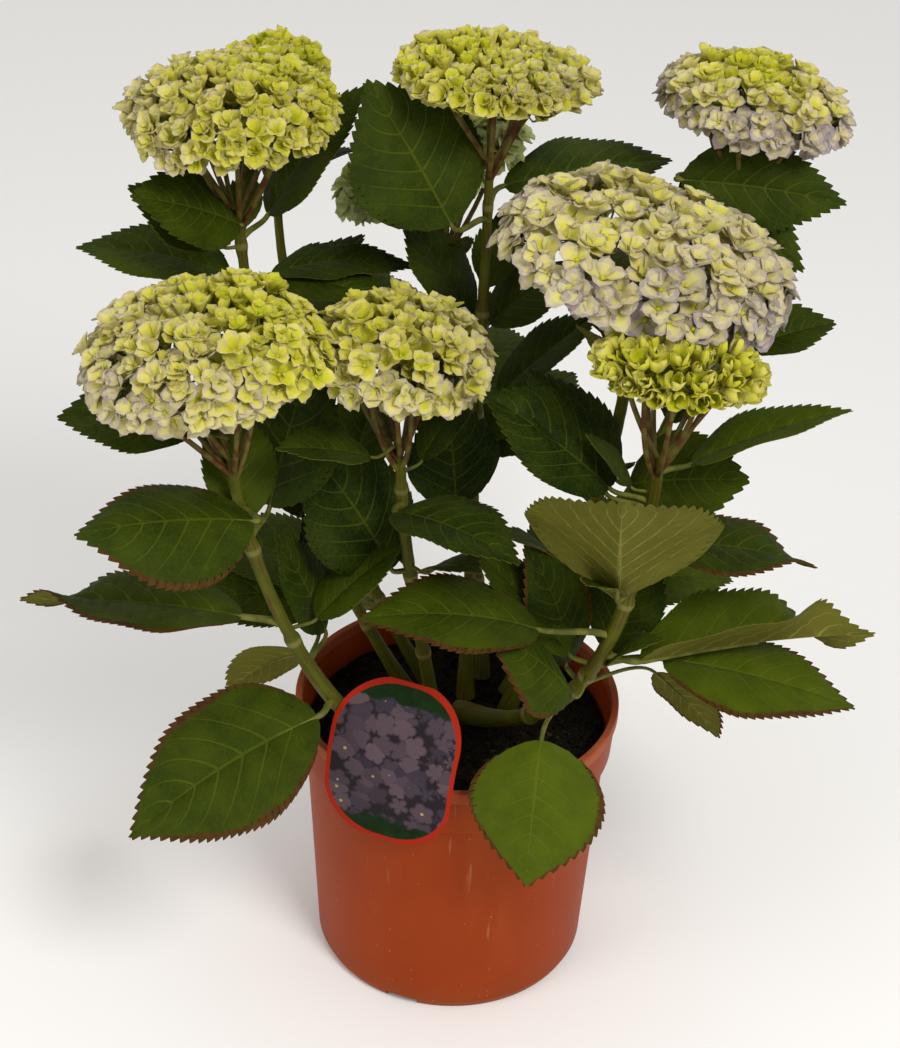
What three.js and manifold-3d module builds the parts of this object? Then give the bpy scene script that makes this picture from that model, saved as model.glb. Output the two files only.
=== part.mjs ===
// A hydrangea shrub in its nursery pot: nine canes, nine flower heads and the leaves between them.
//
// Frame: millimetres, +Z up, -Y is the front. The origin is the centre of the pot's flat underside.
// Each flower head and each spray of leaves is one closed, uneven solid. A leaf solid is a thin pad
// that starts at the foot of its blade and follows its midrib out to the tip.

import * as THREE from 'three';
import { mergeVertices } from 'three/addons/utils/BufferGeometryUtils.js';
import Module from 'manifold-3d';

const wasm = await Module();
wasm.setup();

// ---------------------------------------------------------------- driving dimensions

const GAP = 0.4; // clearance between neighbouring solids
const SLIVER = 0.05; // detail finer than this is dropped after a cut
const TOUCH = 0.01; // cubic millimetres of overlap that still count as only touching

const POT_HEIGHT = 213;
const POT_RIM_RADIUS = 115;
const POT_RIM_WALL = 5;
const POT_COLLAR_HEIGHT = 38;
const POT_NECK_RADIUS = 107.5;
const POT_FOOT_RADIUS = 98;
const POT_FOOT_CHAMFER = 4;
const POT_WALL = 3;
const POT_FLOOR = 4;
const POT_SIDES = 32;

const DRAIN_WIDTH = 24;
const DRAIN_HEIGHT = 7;
const DRAIN_COUNT = 4;
const DRAIN_FIRST_HEADING = -20;

const SOIL_LEVEL = 193;

const TAG_WIDTH = 92;
const TAG_HEIGHT = 124;
const TAG_THICKNESS = 1.2;
const TAG_HEADING = -112;
const TAG_CENTRE_Z = 228;
const TAG_SLANT = 4;
const TAG_CURL_RADIUS = 95;
const TAG_CURL_START = 10;

const CANE_SIDES = 6;
const CANE_STATIONS = 10;
const FLARE_HEIGHT = 12;
const FLARE_SCALE = 1.5;
const NODE_SPACING = 75;
const NODE_SWELL = 0.14;

const HEAD_SIDES = 12;
const HEAD_RINGS = 7;
const HEAD_LUMP = 0.06;

const LEAF_STATIONS = 8;
const LEAF_THICKNESS = 5;
const LEAF_EDGE_THICKNESS = 1.6;

const POT_MATERIAL = surface(0xb5532c, 0.45);
const SOIL_MATERIAL = surface(0x1d1611, 1.0);
const TAG_MATERIAL = surface(0xa33a3a, 0.35);
const CANE_MATERIAL = surface(0x6b7434, 0.7);
const HEAD_MATERIAL = surface(0xc3cf8a, 0.8);
const LEAF_MATERIAL = surface(0x2f4f1c, 0.6);

function surface(color, roughness) {
  return new THREE.MeshStandardMaterial({ color, roughness, metalness: 0 });
}

// ---------------------------------------------------------------- small helpers

function radians(degrees) {
  return THREE.MathUtils.degToRad(degrees);
}

// Unit vector that points along a compass heading (0 = +X, 90 = +Y) and rises above the horizontal.
function direction(heading, rise = 0) {
  const h = radians(heading);
  const r = radians(rise);
  return new THREE.Vector3(Math.cos(h) * Math.cos(r), Math.sin(h) * Math.cos(r), Math.sin(r));
}

// Repeatable noise between -1 and 1 from two whole numbers.
function noise(seed, index) {
  const value = Math.sin(seed * 127.1 + index * 311.7) * 43758.5453;
  return 2 * (value - Math.floor(value)) - 1;
}

// Closed solid through a row of rings with the same number of points, its two ends capped flat
// by fans from each ring's last point.
function loft(rings) {
  const count = rings[0].length;
  const points = rings.flat();
  const faces = [];
  for (let ring = 0; ring < rings.length - 1; ring++) {
    for (let side = 0; side < count; side++) {
      const next = (side + 1) % count;
      const a = ring * count + side;
      const b = ring * count + next;
      const c = a + count;
      const d = b + count;
      faces.push(a, b, d, a, d, c);
    }
  }
  const hub = count - 1;
  const end = (rings.length - 1) * count;
  for (let side = 0; side < count - 2; side++) {
    faces.push(hub, side + 1, side);
    faces.push(end + hub, end + side, end + side + 1);
  }
  const geometry = new THREE.BufferGeometry();
  geometry.setFromPoints(points);
  geometry.setIndex(faces);
  return geometry;
}

// The three.js geometry as a manifold-3d solid, its shared vertices merged.
function solidOf(geometry) {
  const bare = new THREE.BufferGeometry();
  bare.setAttribute('position', geometry.getAttribute('position').clone());
  if (geometry.index) bare.setIndex(geometry.index.clone());
  const merged = mergeVertices(bare, 1e-3);
  const index = merged.index.array;
  const faces = [];
  for (let i = 0; i < index.length; i += 3) {
    const [a, b, c] = [index[i], index[i + 1], index[i + 2]];
    if (a !== b && b !== c && c !== a) faces.push(a, b, c);
  }
  const mesh = new wasm.Mesh({
    numProp: 3,
    vertProperties: new Float32Array(merged.getAttribute('position').array),
    triVerts: new Uint32Array(faces),
  });
  const solid = new wasm.Manifold(mesh);
  return solid.volume() < 0 ? solidOf(flipped(merged)) : solid;
}

function flipped(geometry) {
  const copy = geometry.clone();
  const index = copy.index.array;
  for (let i = 0; i < index.length; i += 3) {
    [index[i + 1], index[i + 2]] = [index[i + 2], index[i + 1]];
  }
  return copy;
}

// The solid's largest single piece, in case a cut has parted it, without the cut's slivers.
function largestPiece(solid) {
  const pieces = solid.decompose();
  const largest = pieces.reduce((best, piece) => (piece.volume() > best.volume() ? piece : best));
  return largest.simplify(SLIVER);
}

function geometryOf(solid) {
  const mesh = solid.getMesh();
  const geometry = new THREE.BufferGeometry();
  const positions = [];
  for (let i = 0; i < mesh.numVert; i++) {
    positions.push(...mesh.vertProperties.slice(i * mesh.numProp, i * mesh.numProp + 3));
  }
  geometry.setAttribute('position', new THREE.Float32BufferAttribute(positions, 3));
  geometry.setIndex([...mesh.triVerts]);
  return geometry;
}

// ---------------------------------------------------------------- the assembly

const shrub = new THREE.Group();
const obstacles = []; // solids already placed, grown by the gap, that later ones are cut round

// Adds a part made by make(grow), cut round everything placed before it.
function place(name, material, make) {
  let solid = solidOf(make(0));
  const box = solid.boundingBox();
  for (const other of obstacles) {
    if (!boxesMeet(box, other.box)) continue;
    const rest = solid.subtract(other.solid);
    if (solid.volume() - rest.volume() > TOUCH) solid = largestPiece(rest);
  }
  const mesh = new THREE.Mesh(geometryOf(solid), material);
  mesh.name = name;
  shrub.add(mesh);
  const grown = solidOf(make(GAP));
  obstacles.push({ solid: grown, box: grown.boundingBox() });
}

function boxesMeet(one, other) {
  return [0, 1, 2].every((k) => one.min[k] < other.max[k] && other.min[k] < one.max[k]);
}

// ---------------------------------------------------------------- pot and soil

// Radius of the pot's inner face at a height above its floor.
function innerRadius(z) {
  const share = z / (POT_HEIGHT - POT_COLLAR_HEIGHT);
  return POT_FOOT_RADIUS + (POT_NECK_RADIUS - POT_FOOT_RADIUS) * Math.min(share, 1) - POT_WALL;
}

function potGeometry(grow = 0) {
  const collarFoot = POT_HEIGHT - POT_COLLAR_HEIGHT;
  const profile = [
    [0, 0],
    [POT_FOOT_RADIUS - POT_FOOT_CHAMFER, 0],
    [POT_FOOT_RADIUS, POT_FOOT_CHAMFER * 2],
    [POT_NECK_RADIUS, collarFoot],
    [POT_RIM_RADIUS - 3, collarFoot + 1],
    [POT_RIM_RADIUS - 1.2, POT_HEIGHT - 9],
    [POT_RIM_RADIUS, POT_HEIGHT - 7],
    [POT_RIM_RADIUS, POT_HEIGHT - 1.5],
    [POT_RIM_RADIUS - 1.5, POT_HEIGHT],
    [POT_RIM_RADIUS - POT_RIM_WALL, POT_HEIGHT],
    [innerRadius(collarFoot) + 3, collarFoot + 6],
    [innerRadius(POT_FLOOR), POT_FLOOR],
    [0, POT_FLOOR],
  ];
  const outline = profile.map(([radius, z]) => new THREE.Vector2(radius && radius + grow, z));
  const lathe = new THREE.LatheGeometry(outline, POT_SIDES);
  lathe.rotateX(Math.PI / 2);
  return lathe;
}

// Box that bites one drain notch out of the foot of the wall.
function drainNotch(heading) {
  const depth = 2 * (POT_WALL + POT_FOOT_CHAMFER);
  const notch = new THREE.BoxGeometry(depth, DRAIN_WIDTH, 2 * DRAIN_HEIGHT);
  notch.translate(POT_FOOT_RADIUS, 0, 0);
  notch.rotateZ(radians(heading));
  return notch;
}

function addPot() {
  let pot = solidOf(potGeometry());
  for (let n = 0; n < DRAIN_COUNT; n++) {
    pot = pot.subtract(solidOf(drainNotch(DRAIN_FIRST_HEADING + (n * 360) / DRAIN_COUNT)));
  }
  const mesh = new THREE.Mesh(geometryOf(pot), POT_MATERIAL);
  mesh.name = 'pot';
  shrub.add(mesh);
  const grown = solidOf(potGeometry(GAP));
  obstacles.push({ solid: grown, box: grown.boundingBox() });
}

function soilGeometry() {
  const bottom = POT_FLOOR + 10;
  const collarFoot = POT_HEIGHT - POT_COLLAR_HEIGHT;
  const outline = [
    new THREE.Vector2(0, bottom),
    new THREE.Vector2(innerRadius(bottom) - 1, bottom),
    new THREE.Vector2(innerRadius(collarFoot) - 1, collarFoot),
    new THREE.Vector2(innerRadius(collarFoot), SOIL_LEVEL),
    new THREE.Vector2(0, SOIL_LEVEL),
  ];
  const lathe = new THREE.LatheGeometry(outline, POT_SIDES);
  lathe.rotateX(Math.PI / 2);
  return lathe;
}

// ---------------------------------------------------------------- hanging label

// Half width of the capsule-shaped label at a share of its height from 0 (bottom) to 1 (top).
function tagHalfWidth(share) {
  const corner = TAG_WIDTH * 0.42;
  const end = Math.min(share, 1 - share) * TAG_HEIGHT;
  if (end >= corner) return TAG_WIDTH / 2;
  const inset = corner - Math.sqrt(corner ** 2 - (corner - end) ** 2);
  return TAG_WIDTH / 2 - inset;
}

// Upright outside the wall, then curled inwards above the rim.
function tagGeometry(grow) {
  const stations = 15;
  const out = direction(TAG_HEADING);
  const across = direction(TAG_HEADING + 90);
  const rings = [];
  for (let i = 0; i < stations; i++) {
    const share = 0.5 - 0.5 * Math.cos(Math.PI * (0.04 + (0.92 * i) / (stations - 1)));
    const climb = (share - 0.5) * TAG_HEIGHT;
    const curl = Math.max(0, climb + TAG_CURL_START) / TAG_CURL_RADIUS;
    const radius = POT_RIM_RADIUS + 2.5 - TAG_CURL_RADIUS * (1 - Math.cos(curl));
    const z = TAG_CENTRE_Z + Math.min(climb, -TAG_CURL_START) + TAG_CURL_RADIUS * Math.sin(curl);
    const half = tagHalfWidth(share) + grow;
    const thick = TAG_THICKNESS / 2 + grow;
    const normal = out.clone().multiplyScalar(Math.cos(curl)).setZ(Math.sin(curl));
    const shift = climb * Math.tan(radians(TAG_SLANT));
    const middle = out.clone().multiplyScalar(radius).addScaledVector(across, shift).setZ(z);
    rings.push([
      middle.clone().addScaledVector(across, -half).addScaledVector(normal, -thick),
      middle.clone().addScaledVector(across, half).addScaledVector(normal, -thick),
      middle.clone().addScaledVector(across, half).addScaledVector(normal, thick),
      middle.clone().addScaledVector(across, -half).addScaledVector(normal, thick),
    ]);
  }
  return loft(rings);
}

// ---------------------------------------------------------------- canes

// Each row: foot on the soil, tip under the flower head, reach (the way it leaves the soil), rise
// (how far below the tip it has turned upright) and the radii at the soil and at the tip.
const CANES = {
  cane_left_back: cane([-30, 12], [-152, 20, 616], [-50, 0, 90], 200, [5.2, 3.8]),
  cane_left_rear: cane([-22, 38], [-134, 88, 616], [-66, 10, 110], 190, [4.6, 3.4]),
  cane_left_front: cane([-38, -42], [-150, -88, 500], [-48, -62, 62], 130, [6.5, 4]),
  cane_centre_front: cane([-14, -16], [-44, -60, 492], [-12, -10, 90], 120, [5.5, 3.8]),
  cane_centre_back: cane([6, 22], [8, 44, 646], [-2, 10, 120], 200, [5, 3.5]),
  cane_rear: cane([18, 46], [-26, 112, 546], [0, 30, 110], 150, [4.6, 3.2]),
  cane_right_back: cane([36, 28], [174, 62, 618], [50, 10, 120], 200, [5, 3.6]),
  cane_right_mid: cane([36, 6], [100, -44, 552], [28, -10, 120], 160, [5.6, 4]),
  cane_right_front: cane([2, 2], [118, -102, 518], [78, -76, 32], 190, [7, 4]),
};

function cane(foot, tip, reach, rise, radii) {
  return { foot, tip, reach, rise, radii };
}

function caneCurve({ foot, tip, reach, rise }) {
  const start = new THREE.Vector3(foot[0], foot[1], SOIL_LEVEL + GAP);
  const end = new THREE.Vector3(...tip);
  const low = start.clone().add(new THREE.Vector3(...reach));
  const high = end.clone().add(new THREE.Vector3(0, 0, -rise));
  return new THREE.CubicBezierCurve3(start, low, high, end);
}

function caneGeometry(cane, grow) {
  const curve = caneCurve(cane);
  const length = curve.getLength();
  const rings = [];
  for (let i = 0; i < CANE_STATIONS; i++) {
    const share = i / (CANE_STATIONS - 1);
    const centre = curve.getPointAt(share);
    // the first ring lies flat on the soil
    const along = i === 0 ? new THREE.Vector3(0, 0, 1) : curve.getTangentAt(share);
    const travelled = share * length;
    const flare = 1 + (FLARE_SCALE - 1) * Math.exp(-travelled / FLARE_HEIGHT);
    const swell = 1 + NODE_SWELL * Math.cos((2 * Math.PI * travelled) / NODE_SPACING);
    const radius = THREE.MathUtils.lerp(...cane.radii, share) * flare * swell + grow;
    rings.push(circle(centre, along, radius));
  }
  return loft(rings);
}

// Ring of points round an axis, the first one towards +X.
function circle(centre, axis, radius) {
  const side = new THREE.Vector3(0, 1, 0).cross(axis).normalize();
  const other = axis.clone().normalize().cross(side);
  return Array.from({ length: CANE_SIDES }, (_, k) => {
    const turn = (2 * Math.PI * k) / CANE_SIDES;
    return centre
      .clone()
      .addScaledVector(side, radius * Math.cos(turn))
      .addScaledVector(other, radius * Math.sin(turn));
  });
}

// ---------------------------------------------------------------- flower heads

// Each row: middle of the dome's base, half width and half depth, height of the dome above the
// base, depth below it, and the heading towards which it leans and by how many degrees.
const HEADS = {
  head_left_top: head([-153, 20, 630], [70, 66], 40, 12, 200, 6),
  head_left_rear: head([-133, 106, 628], [38, 36], 30, 10, 90, 10),
  head_centre_top: head([8, 46, 656], [65, 56], 22, 9, 0, 3),
  head_right_top: head([174, 62, 632], [66, 56], 36, 11, 0, 10),
  head_right_large: head([102, -44, 572], [101, 76], 48, 12, -25, 16),
  head_right_young: head([124, -104, 530], [57, 42], 34, 10, 0, 6),
  head_left_front: head([-160, -88, 518], [83, 70], 50, 15, 215, 12),
  head_centre_front: head([-44, -62, 508], [62, 52], 46, 13, -40, 12),
  head_rear: head([-30, 116, 562], [74, 54], 34, 12, 165, 26),
};

function head(at, half, dome, hollow, heading, tilt) {
  return { at, half, dome, hollow, heading, tilt };
}

function headGeometry({ at, half, dome, hollow, heading, tilt }, seed, grow) {
  const lean = new THREE.Matrix4().makeRotationAxis(direction(heading + 90), radians(tilt));
  const centre = new THREE.Vector3(...at);
  const rings = [];
  for (let i = 0; i < HEAD_RINGS; i++) {
    const climb = -0.97 + (1.94 * i) / (HEAD_RINGS - 1);
    const angle = (climb * Math.PI) / 2;
    const height = Math.sin(angle) * (angle > 0 ? dome + grow : hollow + grow);
    rings.push(
      Array.from({ length: HEAD_SIDES }, (_, k) => {
        const turn = (2 * Math.PI * k) / HEAD_SIDES;
        const lump = 1 + HEAD_LUMP * noise(seed, i * HEAD_SIDES + k);
        const spread = Math.cos(angle) ** 0.8 * lump;
        const x = spread * (half[0] + grow) * Math.cos(turn);
        const y = spread * (half[1] + grow) * Math.sin(turn);
        return new THREE.Vector3(x, y, height).applyMatrix4(lean).add(centre);
      }),
    );
  }
  return loft(rings);
}

// ---------------------------------------------------------------- leaves

// Each row: foot of the blade, heading and rise of the midrib at its chord, length and width,
// sag (degrees the midrib turns down on its way), roll about the midrib (positive lifts the
// left edge, seen from the foot) and fold (degrees each half is raised out of the flat).
const LEAVES = {
  leaf_low_left: leaf([-92, -102, 264], 203, -27, 148, 104, 25, -25, 8),
  leaf_mid_left: leaf([-130, -114, 422], 199, 4, 112, 88, 20, -16, -12),
  leaf_far_left: leaf([-142, -85, 330], 176, 0, 148, 78, 15, 4, 12),
  leaf_rim_left: leaf([-106, -60, 285], 169, -40, 68, 42, 40, 60, 10),
  leaf_under_left_head: leaf([-166, -52, 458], 183, 0, 94, 76, 18, -12, 10),
  leaves_left_top: leaf([-159, 14, 549], 189, 27, 78, 86, 20, -20, 6),
  leaf_left_back: leaf([-158, 25, 522], 174, 6, 102, 64, 25, -5, 10),
  leaf_left_top_rear: leaf([-134, 45, 556], 22, 50, 106, 62, 20, 10, 10),
  leaves_left_rear: leaf([-132, 45, 512], 3, -4, 106, 60, 35, 6, 10),
  leaf_centre_top: leaf([-15, 14, 567], 156, 54, 105, 92, 8, -38, 6),
  leaf_centre_back_left: leaf([-2, 44, 486], 150, 50, 84, 66, 15, 5, 8),
  leaf_centre_back_right: leaf([12, 52, 480], 12, 30, 74, 62, 25, 8, 8),
  leaf_right_top_rear: leaf([18, 68, 572], 8, 8, 112, 78, 15, 5, 8),
  leaves_right_top: leaf([130, 46, 590], 348, -16, 110, 80, 12, 68, 6),
  leaf_right_small: leaf([172, -30, 509], 10, 15, 60, 44, 20, 15, 20),
  leaf_right_long: leaf([137, -95, 462], 3, 22, 104, 50, 18, -5, 20),
  leaf_right_mid: leaf([104, -58, 424], 350, 10, 77, 76, 15, 28, 8),
  leaf_right_mid_far: leaf([124, -60, 380], 352, -2, 106, 68, 30, 2, 10),
  leaf_front_upright: leaf([98, -110, 370], 263, 60, 128, 124, -12, 1, 32),
  leaf_right_far: leaf([118, -90, 309], 8, 5, 158, 68, 12, 10, 42),
  leaf_right_low: leaf([134, -76, 302], 348, -7, 130, 82, 18, 5, 8),
  leaf_right_drop: leaf([132, -60, 279], 0, -48, 72, 46, 15, -55, 8),
  leaf_front_hang: leaf([55, -124, 268], 262, -60, 98, 94, 30, 8, -8),
  leaf_centre_low: leaf([50, -98, 337], 190, 8, 120, 80, 30, -2, 8),
  leaf_centre_round: leaf([72, -56, 280], 172, 70, 98, 58, 35, -40, 8),
  leaf_front_brown: leaf([74, -109, 294], 191, 42, 78, 74, 35, -15, -10),
  leaf_centre_fold: leaf([-44, -72, 406], 324, 0, 98, 64, 30, 0, 15),
  leaf_centre_left: leaf([-47, -46, 345], 169, 56, 104, 82, 15, -38, 8),
  leaf_left_slip: leaf([-60, -84, 453], 196, 12, 62, 42, 22, -4, 15),
  leaf_left_tall: leaf([-126, -58, 398], 51, 66, 110, 84, 10, 4, 8),
  leaves_right_tall: leaf([88, -92, 440], 151, 36, 103, 94, 15, -8, 14),
  leaf_right_inner: leaf([98, -48, 288], 36, 60, 82, 62, 20, 10, 8),
  leaves_left_inner: leaf([-92, -54, 300], 167, 74, 92, 66, 12, -12, 8),
  leaf_centre_dark: leaf([-6, -8, 372], 109, 70, 78, 66, 15, 8, 8),
  leaves_rear_low_left: leaf([-80, 54, 256], 158, 4, 150, 140, 40, 0, 10),
  leaves_rear_low_right: leaf([70, 60, 262], 42, 4, 155, 150, 40, 0, 10),
  leaves_rear_middle: leaf([10, 108, 350], 84, 14, 140, 140, 40, 0, 10),
  leaves_rear_high_left: leaf([-58, 106, 424], 118, 12, 125, 130, 40, 0, 10),
  leaves_rear_high_right: leaf([112, 88, 452], 62, 16, 130, 130, 40, 0, 10),
};

function leaf(foot, heading, rise, length, width, sag, roll, fold) {
  return { foot, heading, rise, length, width, sag, roll, fold };
}

// Half width of a blade, as a share of the full half width, along its midrib from 0 to 1.
function bladeOutline(share) {
  return Math.sin(Math.PI * share ** 0.78) ** 0.75;
}

// Frame of a blade at a share of its midrib: the middle, and the across and upward directions.
function bladeFrame({ foot, heading, rise, length, sag, roll }, share) {
  const steps = 12;
  const middle = new THREE.Vector3(...foot);
  const pitchAt = (s) => rise + sag * (0.5 - s);
  for (let i = 0; i < steps; i++) {
    const s = (share * (i + 0.5)) / steps;
    middle.addScaledVector(direction(heading, pitchAt(s)), (length * share) / steps);
  }
  const along = direction(heading, pitchAt(share));
  const left = direction(heading + 90).applyAxisAngle(along, radians(roll));
  const up = along.clone().cross(left).normalize();
  return { middle, left, up };
}

function leafGeometry(blade, seed, grow) {
  const rings = [];
  for (let i = 0; i < LEAF_STATIONS; i++) {
    const share = 0.02 + (0.96 * i) / (LEAF_STATIONS - 1);
    const { middle, left, up } = bladeFrame(blade, share);
    const half = (blade.width / 2) * bladeOutline(share);
    const raise = Math.tan(radians(blade.fold));
    const belly = (LEAF_THICKNESS / 2) * (0.35 + 0.65 * bladeOutline(share)) + grow;
    const edge = LEAF_EDGE_THICKNESS / 2 + grow;
    const point = (side, across, height) =>
      middle
        .clone()
        .addScaledVector(left, side * (across + grow))
        .addScaledVector(up, across * raise + height);
    const leftHalf = half * (1 + 0.07 * noise(seed, 2 * i));
    const rightHalf = half * (1 + 0.07 * noise(seed, 2 * i + 1));
    rings.push([
      point(1, leftHalf, -edge),
      point(1, leftHalf, edge),
      point(1, leftHalf * 0.5, belly),
      middle.clone().addScaledVector(up, belly),
      point(-1, rightHalf * 0.5, belly),
      point(-1, rightHalf, edge),
      point(-1, rightHalf, -edge),
      middle.clone().addScaledVector(up, -belly),
    ]);
  }
  return loft(rings);
}

// ---------------------------------------------------------------- build

addPot();
place('soil', SOIL_MATERIAL, soilGeometry);
place('tag', TAG_MATERIAL, tagGeometry);
Object.entries(HEADS).forEach(([name, head], seed) => {
  place(name, HEAD_MATERIAL, (grow) => headGeometry(head, seed, grow));
});
Object.entries(CANES).forEach(([name, cane]) => {
  place(name, CANE_MATERIAL, (grow) => caneGeometry(cane, grow));
});
Object.entries(LEAVES).forEach(([name, blade], seed) => {
  place(name, LEAF_MATERIAL, (grow) => leafGeometry(blade, seed, grow));
});

export default shrub;
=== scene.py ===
"""A potted mophead hydrangea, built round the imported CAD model.

Metres, +Z up, -Y the front. Every leaf pad, cane and flower head of the CAD is read for its place
and shape, and gives way to toothed blades, ribbed canes and heads of four-petalled florets.
"""

import math
import random
from collections import defaultdict, namedtuple

import bpy
import numpy as np
from mathutils import Matrix, Vector
from mathutils.bvhtree import BVHTree


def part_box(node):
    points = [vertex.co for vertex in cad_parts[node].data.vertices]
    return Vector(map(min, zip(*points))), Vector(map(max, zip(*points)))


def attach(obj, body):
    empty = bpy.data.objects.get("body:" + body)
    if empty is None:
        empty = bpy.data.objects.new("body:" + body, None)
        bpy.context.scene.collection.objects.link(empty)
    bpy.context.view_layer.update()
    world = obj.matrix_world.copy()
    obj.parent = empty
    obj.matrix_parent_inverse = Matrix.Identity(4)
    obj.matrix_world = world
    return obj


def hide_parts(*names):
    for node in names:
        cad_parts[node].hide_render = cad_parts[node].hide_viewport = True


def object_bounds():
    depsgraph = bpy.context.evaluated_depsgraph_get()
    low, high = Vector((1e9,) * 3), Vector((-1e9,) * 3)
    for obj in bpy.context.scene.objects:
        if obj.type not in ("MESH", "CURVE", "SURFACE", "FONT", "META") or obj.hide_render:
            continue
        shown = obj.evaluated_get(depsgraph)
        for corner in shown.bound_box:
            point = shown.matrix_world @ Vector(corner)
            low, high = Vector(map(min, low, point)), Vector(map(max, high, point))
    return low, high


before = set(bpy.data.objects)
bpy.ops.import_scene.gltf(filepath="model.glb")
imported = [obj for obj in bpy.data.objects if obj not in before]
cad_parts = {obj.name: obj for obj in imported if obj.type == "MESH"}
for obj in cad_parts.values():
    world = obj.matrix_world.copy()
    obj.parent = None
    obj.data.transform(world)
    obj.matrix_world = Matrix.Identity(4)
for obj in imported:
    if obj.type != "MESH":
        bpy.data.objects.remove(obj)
cad_low, cad_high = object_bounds()

MM = 0.001
SEED = 20
UP = np.array([0.0, 0.0, 1.0])

POT = "pot"
SOIL = "soil"
TAG = "tag"
CANES = sorted(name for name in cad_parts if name.startswith("cane"))
HEADS = sorted(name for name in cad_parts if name.startswith("head"))
PADS = sorted(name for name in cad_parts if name.startswith(("leaf", "leaves")))

# ---------------------------------------------------------------- joined meshes


class Pile:
    """Collects the points and faces of many small shapes, which end as one mesh object."""

    def __init__(self):
        self.points = []
        self.faces = []
        self.slots = []
        self.maps = []
        self.tones_and_shade = []
        self.count = 0

    def add(self, points, faces, slots=0, uv=None, tone=0.5, fans=None):
        """Adds points (n x 3), faces (m x corners) and fans, faces with another count of corners.

        slots is one number for all of them, or one for each face where there are no fans.
        """
        self.points.append(np.asarray(points, float))
        for group in (faces, fans):
            if group is not None:
                self.faces.append(np.asarray(group, np.int64) + self.count)
                self.slots.append(np.broadcast_to(slots, len(group)))
        self.maps.append(np.zeros((len(points), 2)) if uv is None else uv)
        self.tones_and_shade.append(np.full(len(points), tone))
        self.count += len(points)

    def build(self, name, slot, materials, replaces=(), sharp=50):
        """Makes the object, which rides on the root body. Its slot argument is not used."""
        corners = np.concatenate([f.ravel() for f in self.faces])
        widths = np.concatenate([np.full(len(f), f.shape[1]) for f in self.faces])
        starts = np.concatenate([[0], np.cumsum(widths)[:-1]])
        mesh = bpy.data.meshes.new(name)
        mesh.vertices.add(self.count)
        mesh.vertices.foreach_set("co", np.concatenate(self.points).ravel())
        mesh.loops.add(len(corners))
        mesh.loops.foreach_set("vertex_index", corners)
        mesh.polygons.add(len(widths))
        mesh.polygons.foreach_set("loop_start", starts)
        mesh.polygons.foreach_set("material_index", np.concatenate(self.slots))
        mesh.update(calc_edges=True)
        layer = mesh.uv_layers.new(name="Blade")
        layer.uv.foreach_set("vector", np.concatenate(self.maps)[corners].ravel())
        tone = mesh.attributes.new("tone", "FLOAT", "POINT")
        tone.data.foreach_set("value", np.concatenate(self.tones_and_shade))
        mesh.shade_smooth()
        mesh.set_sharp_from_angle(angle=math.radians(sharp))
        for material in materials:
            mesh.materials.append(material)
        thing = placed(name, mesh)
        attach(thing, "root")
        if replaces:
            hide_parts(*replaces)
        return thing


def placed(name, data):
    """A new object in the scene."""
    thing = bpy.data.objects.new(name, data)
    bpy.context.scene.collection.objects.link(thing)
    return thing


def grid_faces(rows, columns, closed=False):
    """Quads of a grid of points stored row by row; closed joins its last column to its first."""
    across = np.arange(columns if closed else columns - 1)
    a = (np.arange(rows - 1)[:, None] * columns + across).ravel()
    b = (np.arange(rows - 1)[:, None] * columns + (across + 1) % columns).ravel()
    return np.stack([a, b, b + columns, a + columns], axis=1)


def capped_faces(rows, sides):
    """Quads of closed rings stored row by row, and fans to the two end points stored after them."""
    k = np.arange(sides)
    beside = (k + 1) % sides
    last = (rows - 1) * sides
    start = np.full(sides, rows * sides)
    low = np.stack([start, beside, k], axis=1)
    high = np.stack([start + 1, last + k, last + beside], axis=1)
    return grid_faces(rows, sides, closed=True), np.concatenate([low, high])


def plate_faces(rows, columns):
    """Top, under side and rim of a thin plate, whose under points are stored after its top ones.

    They face outwards where the ways from column to column, row to row and upwards are
    right-handed in that order.
    """
    count = rows * columns
    top = grid_faces(rows, columns)
    rim = np.concatenate(
        [
            np.arange(0, columns - 1),
            np.arange(columns - 1, count - 1, columns),
            np.arange(count - 1, count - columns, -1),
            np.arange(count - columns, 0, -columns),
        ]
    )
    ahead = np.roll(rim, -1)
    band = np.stack([rim + count, ahead + count, ahead, rim], axis=1)
    return top, top[:, ::-1] + count, band


def distances(path):
    """How far along a path each of its points is."""
    return np.concatenate([[0], np.cumsum(np.linalg.norm(np.diff(path, axis=0), axis=1))])


def unit(vectors):
    vectors = np.asarray(vectors, float)
    return vectors / np.maximum(np.linalg.norm(vectors, axis=-1, keepdims=True), 1e-12)


def blend(low, high, share):
    return low + (high - low) * share


def smooth_step(low, high, value):
    share = np.clip((value - low) / (high - low), 0, 1)
    return share * share * (3 - 2 * share)


def turned(axis, degrees):
    """Rotation matrix about an axis."""
    return np.array(Matrix.Rotation(math.radians(degrees), 3, Vector(axis)))


def wave_noise(places, seed, scale):
    """Soft repeatable noise from -1 to 1 at points in space, as a sum of turned sine waves."""
    rng = np.random.default_rng(seed)
    total = np.zeros(len(places))
    for octave in range(4):
        ways = unit(rng.normal(size=(5, 3))) * scale * 1.9**octave
        shifts = rng.uniform(0, 2 * math.pi, 5)
        total += np.sin(places @ ways.T + shifts).sum(axis=1) / 5 / 1.5**octave
    return total


# ---------------------------------------------------------------- reading the CAD's solids


def solid_of(node):
    """A CAD node's points and triangles, with points that coincide merged."""
    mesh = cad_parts[node].data
    places = np.empty(len(mesh.vertices) * 3, np.float32)
    mesh.vertices.foreach_get("co", places)
    points, index = np.unique(places.reshape(-1, 3), axis=0, return_inverse=True)
    mesh.calc_loop_triangles()
    corners = np.empty(len(mesh.loop_triangles) * 3, np.int32)
    mesh.loop_triangles.foreach_get("vertices", corners)
    return points.astype(float), index.ravel()[corners].reshape(-1, 3)


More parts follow.
